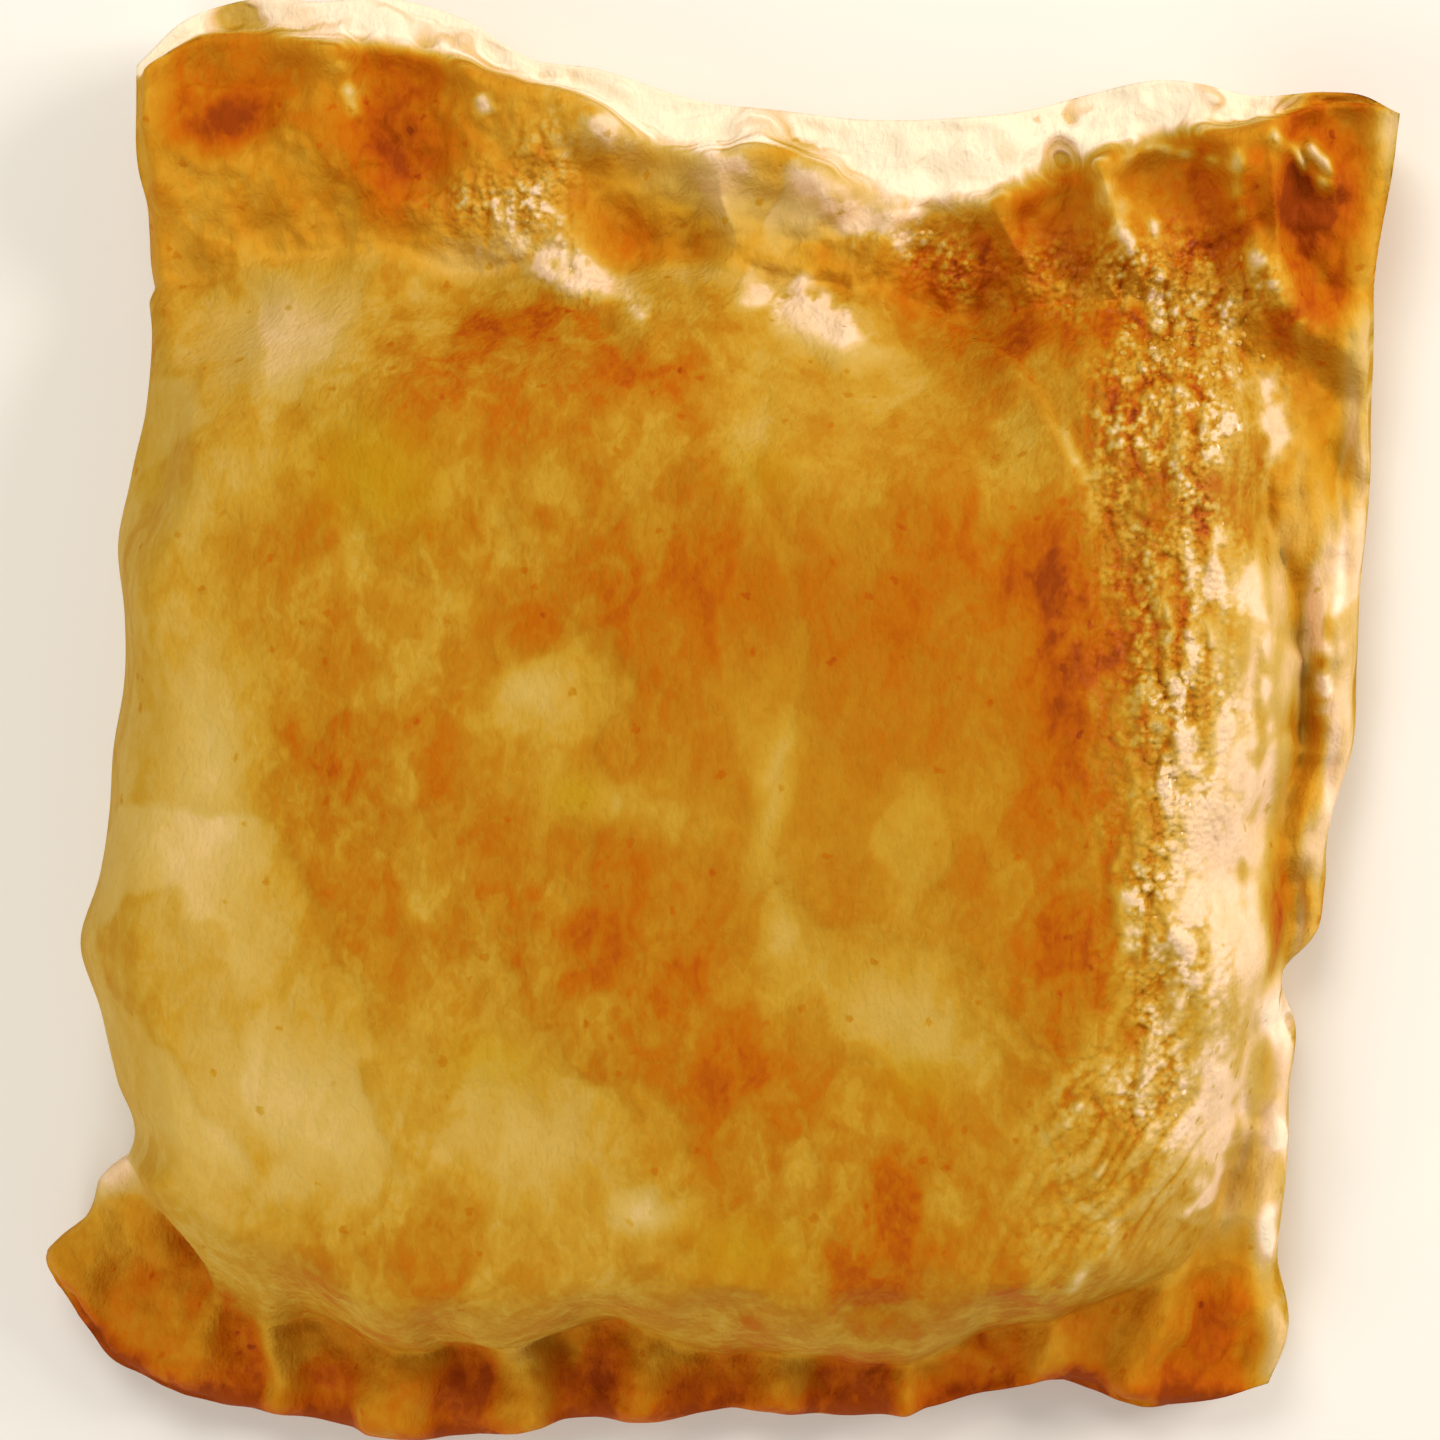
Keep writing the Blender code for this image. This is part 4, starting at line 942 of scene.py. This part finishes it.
crustMesh = {
    "cells": (272, 286),
    # how closely the cells are packed along each way: (place from -1 to 1, closeness)
    "packedAcross": ((-1.0, 1.3), (-0.86, 0.9), (0.3, 0.8), (0.55, 1.4), (0.85, 1.5), (1.0, 1.3)),
    "packedUp": ((-1.0, 1.4), (-0.78, 1.2), (-0.6, 0.8), (0.3, 0.8), (0.6, 1.2), (1.0, 1.4)),
    "reliefFade": 0.02,  # the small relief fades out that near to the edge, as a share of half a side
    "topRound": 0.5,     # how softly the top is held under the solid's height
    "wallRings": 10,     # rings down the outer wall
    "wall": ((0.0, 3.2), (0.16, 0.9), (0.52, -0.25), (1.0, 0.0)),   # share of the height, inset
    "cornerEase": 10,    # points to each side over which the wall turns a corner
    "layerDepth": 0.45,  # how deep the grooves between the baked layers are
    "ragged": (1.2, 2.6, 17, 3.0),             # strength, size, shift and seed from ring to ring
    "plainFold": ((-50, -42), (36, 42), -50),  # low end, high end, how far left the folded side is
    "baseRings": (0.84, 0.56, 0.28),
}


def packed(cells, values):   # moves evenly spaced values closer together where cells are wanted
    at, closeness = np.array(cells).T
    fine = np.linspace(-1, 1, 2001)
    total = np.cumsum(np.interp(fine, at, closeness))
    return np.interp(values, (total - total[0]) / (total[-1] - total[0]) * 2 - 1, fine)


def orderedEdge(bm):   # the open edge's points in their order round the pie
    start = min((v for v in bm.verts if v.is_boundary), key=lambda v: (v.co.y, v.co.x))
    loop, last = [start], None
    while True:
        here = loop[-1]
        ways = [e.other_vert(here) for e in here.link_edges if e.is_boundary]
        ways = [v for v in ways if v is not last]
        following = max(ways, key=lambda v: v.co.x) if last is None else ways[0]
        if following is start:
            return loop
        last = here
        loop.append(following)


def addRing(bm, ring, points):
    lower = [bm.verts.new(point) for point in points]
    for i, vert in enumerate(ring):
        j = (i + 1) % len(ring)
        bm.faces.new((vert, lower[i], lower[j], ring[j]))
    return lower


def addTop(bm):
    bmesh.ops.create_grid(bm, x_segments=crustMesh["cells"][0], y_segments=crustMesh["cells"][1], size=1)
    across, up = np.array([v.co[:2] for v in bm.verts]).T
    across, up = packed(crustMesh["packedAcross"], across), packed(crustMesh["packedUp"], up)
    x, y = outline(across, up)
    fade = smoothStep(0.0, crustMesh["reliefFade"], 1 - np.maximum(np.abs(across), np.abs(up)))
    z = crustHeight(x, y) + smallRelief(x, y) * fade - relief["cover"] * skinCover(x, y)
    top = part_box(node)[1][2] / mm
    z = -smoothMax(-z, np.full(z.shape, -top), crustMesh["topRound"])
    for vert, point in zip(bm.verts, np.column_stack([x, y, z])):
        vert.co = point


def addWall(bm):   # with its base
    ring = orderedEdge(bm)
    edge = np.array([v.co[:] for v in ring])
    ahead = np.roll(edge, -1, axis=0) - np.roll(edge, 1, axis=0)
    out = np.stack([ahead[:, 1], -ahead[:, 0]], axis=1)
    out /= np.linalg.norm(out, axis=1)[:, None]
    turns = range(-crustMesh["cornerEase"], crustMesh["cornerEase"] + 1)
    out = sum(np.roll(out, turn, axis=0) for turn in turns) / len(turns)   # less inset at the corners
    lowEnd, highEnd, farLeft = crustMesh["plainFold"]
    onFold = smoothStep(*lowEnd, edge[:, 1]) * (1 - smoothStep(*highEnd, edge[:, 1])) * (edge[:, 0] < farLeft)
    strength, size, shift, seed = crustMesh["ragged"]
    for i in range(1, crustMesh["wallRings"] + 1):
        share = 1 - i / crustMesh["wallRings"]
        ragged = 1 + strength * noiseField(edge[:, 0] + shift * i, edge[:, 1], size, seed=seed * i)
        groove = crustMesh["layerDepth"] * (i % 2) * ragged * (1 - onFold) * (share > 0)
        inset = np.interp(share, *zip(*crustMesh["wall"])) + groove
        ring = addRing(bm, ring, np.column_stack([edge[:, :2] - out * inset[:, None], edge[:, 2] * share]))
    foot = np.array([v.co[:] for v in ring])
    centre = np.array([*form["middle"], 0.0])
    for scale in crustMesh["baseRings"]:
        ring = addRing(bm, ring, centre + (foot - centre) * scale)
    bm.faces.new(reversed(ring))


def pointsOf(mesh):
    points = np.empty(len(mesh.vertices) * 3)
    mesh.vertices.foreach_get("co", points)
    return points.reshape(-1, 3)


def toFrame(mesh):   # mm to metres, centred on the solid and kept in its box
    low, high = np.array(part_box(node)[0]), np.array(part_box(node)[1])
    middle = np.array([*form["middle"], 0.0]) * mm
    shift = np.array([(low[0] + high[0]) / 2, (low[1] + high[1]) / 2, 0.0]) - middle
    points = np.clip(pointsOf(mesh) * mm + shift, low, high)
    mesh.vertices.foreach_set("co", points.ravel())


# where the fields that the material reads start and end
fieldEdges = {
    "under": (0.3, 3.5),            # mm above the base
    "warmFrom": (0.25, 0.45),       # browning
    "warmTo": (0.6, 0.9, 0.6),      # browning, and how much of the glow ends there
    "warmSkin": 0.5,                # glow of the blistered skin
    "lipLayers": (0.8, 1.1),        # share of the top side's slope
    "wallLayers": (0.1, 0.5),       # mm from the edge
    "foldLayers": (0.5, 1.5),
}


def paint(mesh):
    x, y, z = pointsOf(mesh).T
    under = 1 - smoothStep(*fieldEdges["under"], z)
    rough = blistered(x, y) * (1 - under)
    baked = browningAt(x, y) * (1 - under) + browning["underside"] * under
    growth, start, least, most = crustLook["patchy"]
    *spot, even = crustLook["evenCentre"]
    patchy = np.clip(growth * baked + start, least, most) * (1 - even * softSpot(x, y, spot))
    *warmTo, warmLoss = fieldEdges["warmTo"]
    # painted glow: the rim's hollows and the blistered skin made warmer, standing in for the light they
    # reflect into each other
    warm = np.maximum(onRim(x, y), fieldEdges["warmSkin"] * rough)
    warm = warm * smoothStep(*fieldEdges["warmFrom"], baked) * (1 - under)
    away = inward(x, y)
    lip = 1 - smoothStep(*fieldEdges["lipLayers"], away["top"] / through(topSlope, x))
    wall = 1 - smoothStep(*fieldEdges["wallLayers"], np.minimum(away["right"], away["bottom"]))
    fields = {
        "browning": baked,
        "patchy": patchy * (1 - crustLook["patchyRim"] * onRim(x, y)),
        "warm": warm * (1 - warmLoss * smoothStep(*warmTo, baked)),
        "olive": spotsAt(x, y, oliveSpots) * (1 - under),
        "rough": rough,
        "layers": np.maximum(lip, wall) * smoothStep(*fieldEdges["foldLayers"], away["left"]),
    }
    for name, values in fields.items():
        mesh.attributes.new(name, "FLOAT", "POINT").data.foreach_set("value", values.astype(np.float32))


def newPiece(name, mesh):
    piece = bpy.data.objects.new(name, mesh)
    bpy.context.scene.collection.objects.link(piece)
    return piece


def makeCrust():
    bm = bmesh.new()
    addTop(bm)
    addWall(bm)
    bmesh.ops.recalc_face_normals(bm, faces=bm.faces)
    mesh = bpy.data.meshes.new("crust")
    bm.to_mesh(mesh)
    bm.free()
    paint(mesh)
    toFrame(mesh)
    mesh.shade_smooth()
    mesh.materials.append(crustMaterial())
    return newPiece("crust", mesh)


crust = makeCrust()
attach(crust, "root")
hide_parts(node)
print("crust:", len(crust.data.polygons), "faces")


def onShoulder(along, out):
    left, right, low, high = skinSheets["shoulder"]
    x, y = left + (right - left) * along, low + (high - low) * out
    return x, y, inside(x, y, left, right, low, high)


def onUpperRim(along, out):
    left, right, low, _ = skinSheets["upperRim"]
    x = left + (right - left) * along
    high = upperRimSides(x)[3]
    y = low + (high - low) * out
    return x, y, inside(x, y, left, right, low, high)


def makeSkin(name, place, across, up):   # across and up are its rough size in mm
    columns, rows = int(across / skinSheets["step"]), int(up / skinSheets["step"])
    along, out = np.meshgrid(np.linspace(0, 1, columns), np.linspace(0, 1, rows))
    x, y, margin = place(along.ravel(), out.ravel())
    width, depth = skinSheets["border"]
    z = crustHeight(x, y) + smallRelief(x, y) + fineRelief(x, y)
    z -= depth * (1 - smoothStep(0, width, margin))
    corner = np.arange((rows - 1) * columns).reshape(rows - 1, columns)[:, :-1].ravel()
    faces = np.stack([corner, corner + 1, corner + columns + 1, corner + columns], axis=1)
    mesh = bpy.data.meshes.new(name)
    mesh.from_pydata(np.column_stack([x, y, z]).tolist(), [], faces.tolist())
    paint(mesh)
    toFrame(mesh)
    mesh.shade_smooth()
    mesh.materials.append(crust.data.materials[0])
    skin = newPiece(name, mesh)
    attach(skin, "root")
    print(name + ":", len(mesh.polygons), "faces")


left, right, low, high = skinSheets["shoulder"]
makeSkin("shoulderSkin", onShoulder, right - left, high - low)
left, right, *_ = skinSheets["upperRim"]
makeSkin("upperRimSkin", onUpperRim, right - left, skinSheets["upperRimWidth"])


# small bubbles on the rough skin, by geometry nodes
blisterSettings = {
    "Density": 1100000.0,  # a square metre of fully rough skin
    "Smoothest": 0.2,      # roughness from which they grow
    "Smallest": 0.16 * mm,
    "Largest": 0.50 * mm,
    "Flatness": 0.6,
    "Sunk": 0.06 * mm,
    "Seed": 11,
}
blisterMesh = {"Radius": 1.0, "Segments": 7, "Rings": 4}


def newTree(name, sockets):
    tree = bpy.data.node_groups.new(name, "GeometryNodeTree")
    for way in ("INPUT", "OUTPUT"):
        tree.interface.new_socket("Geometry", in_out=way, socket_type="NodeSocketGeometry")
    for label, value in sockets.items():
        kind = "NodeSocketInt" if isinstance(value, int) else "NodeSocketFloat"
        tree.interface.new_socket(label, in_out="INPUT", socket_type=kind)
    return tree


def blisterTree(material):
    tree = newTree("blisters", blisterSettings)
    given = newNode(tree, "NodeGroupInput").outputs
    rough = newNode(tree, "GeometryNodeInputNamedAttribute", {"Name": "rough"}, data_type="FLOAT")
    above = maths(tree, "SUBTRACT", rough.outputs["Attribute"], given["Smoothest"], use_clamp=True)
    density = maths(tree, "MULTIPLY", maths(tree, "MULTIPLY", above, above), given["Density"])
    scatter = newNode(tree, "GeometryNodeDistributePointsOnFaces", {
        "Mesh": given["Geometry"], "Density": density, "Seed": given["Seed"]}).outputs
    bubble = newNode(tree, "GeometryNodeMeshUVSphere", blisterMesh)
    flatten = newNode(tree, "ShaderNodeCombineXYZ", {"X": 1.0, "Y": 1.0, "Z": given["Flatness"]})
    squashed = newNode(tree, "GeometryNodeTransform", {
        "Geometry": bubble.outputs["Mesh"], "Scale": flatten.outputs["Vector"]})
    size = newNode(tree, "FunctionNodeRandomValue", data_type="FLOAT", inputs={
        "Min": given["Smallest"], "Max": given["Largest"], "Seed": given["Seed"]})
    placed = newNode(tree, "GeometryNodeInstanceOnPoints", {
        "Points": scatter["Points"], "Rotation": scatter["Rotation"],
        "Instance": squashed.outputs["Geometry"], "Scale": size.outputs["Value"]})
    down = newNode(tree, "ShaderNodeCombineXYZ", {"Z": maths(tree, "MULTIPLY", given["Sunk"], -1.0)})
    made = newNode(tree, "GeometryNodeTranslateInstances", {
        "Instances": placed.outputs["Instances"], "Translation": down.outputs["Vector"]})
    made = newNode(tree, "GeometryNodeRealizeInstances", {"Geometry": made.outputs["Instances"]})
    made = newNode(tree, "GeometryNodeSetShadeSmooth", {"Geometry": made.outputs["Geometry"]})
    made = newNode(tree, "GeometryNodeSetMaterial", {
        "Geometry": made.outputs["Geometry"], "Material": material})
    newNode(tree, "NodeGroupOutput", {"Geometry": made.outputs["Geometry"]})
    return tree


def grown(name, host, tree, settings):   # runs a tree on the host mesh and keeps the result as a plain piece
    carrier = newPiece(name + "Carrier", host)
    modifier = carrier.modifiers.new("grow", "NODES")
    modifier.node_group = tree
    for socket in tree.interface.items_tree:
        if socket.in_out == "INPUT" and socket.name in settings:
            modifier[socket.identifier] = settings[socket.name]
    graph = bpy.context.evaluated_depsgraph_get()
    made = bpy.data.meshes.new_from_object(carrier.evaluated_get(graph))
    made.name = name
    bpy.data.objects.remove(carrier)
    return newPiece(name, made)


def makeBlisters():
    piece = grown("blisters", crust.data, blisterTree(crust.data.materials[0]), blisterSettings)
    browned = piece.data.attributes["browning"].data
    values = np.empty(len(browned))
    browned.foreach_get("value", values)
    # the blisters paler, partly painted highlight
    browned.foreach_set("value", values - browning["paleAndLitBlister"])
    points = np.clip(pointsOf(piece.data), *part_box(node))   # kept in the solid's box
    piece.data.vertices.foreach_set("co", points.ravel())
    return piece


blisters = makeBlisters()
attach(blisters, "root")
print("blisters:", len(blisters.data.polygons), "faces")


room = {
    "floorSize": 2.0,
    "floorColour": (0.86, 0.855, 0.84, 1.0),
    "floorRoughness": 0.9,
    "floorSpecular": 0.1,
    "worldColour": (1.0, 0.89, 0.76, 1.0),
    "worldStrength": 0.37,
}
lightSetup = {   # place, aim, size, power in watts, colour
    "window": ((0.48, 0.25, 0.36), (0.0, 0.0, 0.02), 0.24, 2.0, (1.0, 0.90, 0.80)),
    "lowRight": ((0.44, 0.16, 0.14), (0.02, 0.0, 0.015), 0.07, 0.4, (1.0, 0.90, 0.80)),
    "behind": ((-0.12, 0.36, 0.50), (0.0, 0.02, 0.02), 0.30, 1.6, (1.0, 0.95, 0.86)),
    "softLeft": ((-0.37, -0.38, 0.44), (0.0, 0.0, 0.0), 0.60, 1.3, (0.93, 0.99, 0.95)),
    "front": ((-0.12, -0.44, 0.17), (-0.02, -0.06, 0.01), 0.16, 0.48, (1.0, 0.90, 0.80)),
}
cameraSetup = {
    "lens": 85.0,
    "distance": 0.328,
    "fromRight": 4.0,    # degrees off straight above, towards the right side
    "fromTop": 3.0,      # and towards the top side
    "roll": 4.4,
    "aim": (0.0009, 0.00354, 0.008),
}


def addFloor():
    bm = bmesh.new()
    bmesh.ops.create_grid(bm, x_segments=1, y_segments=1, size=room["floorSize"])
    mesh = bpy.data.meshes.new("floor")
    bm.to_mesh(mesh)
    bm.free()
    material = bpy.data.materials.new("paleFloor")
    material.use_nodes = True
    shader = material.node_tree.nodes["Principled BSDF"]
    shader.inputs["Base Color"].default_value = room["floorColour"]
    shader.inputs["Roughness"].default_value = room["floorRoughness"]
    shader.inputs["Specular IOR Level"].default_value = room["floorSpecular"]
    mesh.materials.append(material)
    floor = newPiece("floor", mesh)


def addLights():
    for name, (place, aim, size, power, colour) in lightSetup.items():
        data = bpy.data.lights.new(name, "AREA")
        data.shape = "DISK"
        data.size = size
        data.energy = power
        data.color = colour
        lamp = newPiece(name, data)
        lamp.location = place
        lamp.rotation_euler = (Vector(place) - Vector(aim)).to_track_quat("Z", "Y").to_euler()
    world = bpy.data.worlds.new("softRoom")
    world.use_nodes = True
    background = world.node_tree.nodes["Background"]
    background.inputs["Color"].default_value = room["worldColour"]
    background.inputs["Strength"].default_value = room["worldStrength"]
    bpy.context.scene.world = world


def addCamera():
    right, top = math.radians(cameraSetup["fromRight"]), math.radians(cameraSetup["fromTop"])
    back = Vector((math.tan(right), math.tan(top), 1.0)).normalized()
    roll = math.radians(cameraSetup["roll"])
    upward = Vector((-math.sin(roll), math.cos(roll), 0.0))
    side = upward.cross(back).normalized()
    upward = back.cross(side)
    data = bpy.data.cameras.new("camera")
    data.lens = cameraSetup["lens"]
    camera = newPiece("camera", data)
    turn = Matrix((side, upward, back)).transposed().to_4x4()
    place = Vector(cameraSetup["aim"]) + back * cameraSetup["distance"]
    camera.matrix_world = Matrix.Translation(place) @ turn
    bpy.context.scene.camera = camera


addFloor()
addLights()
addCamera()
bpy.context.scene.view_settings.view_transform = "Standard"
print("floor, light and camera")
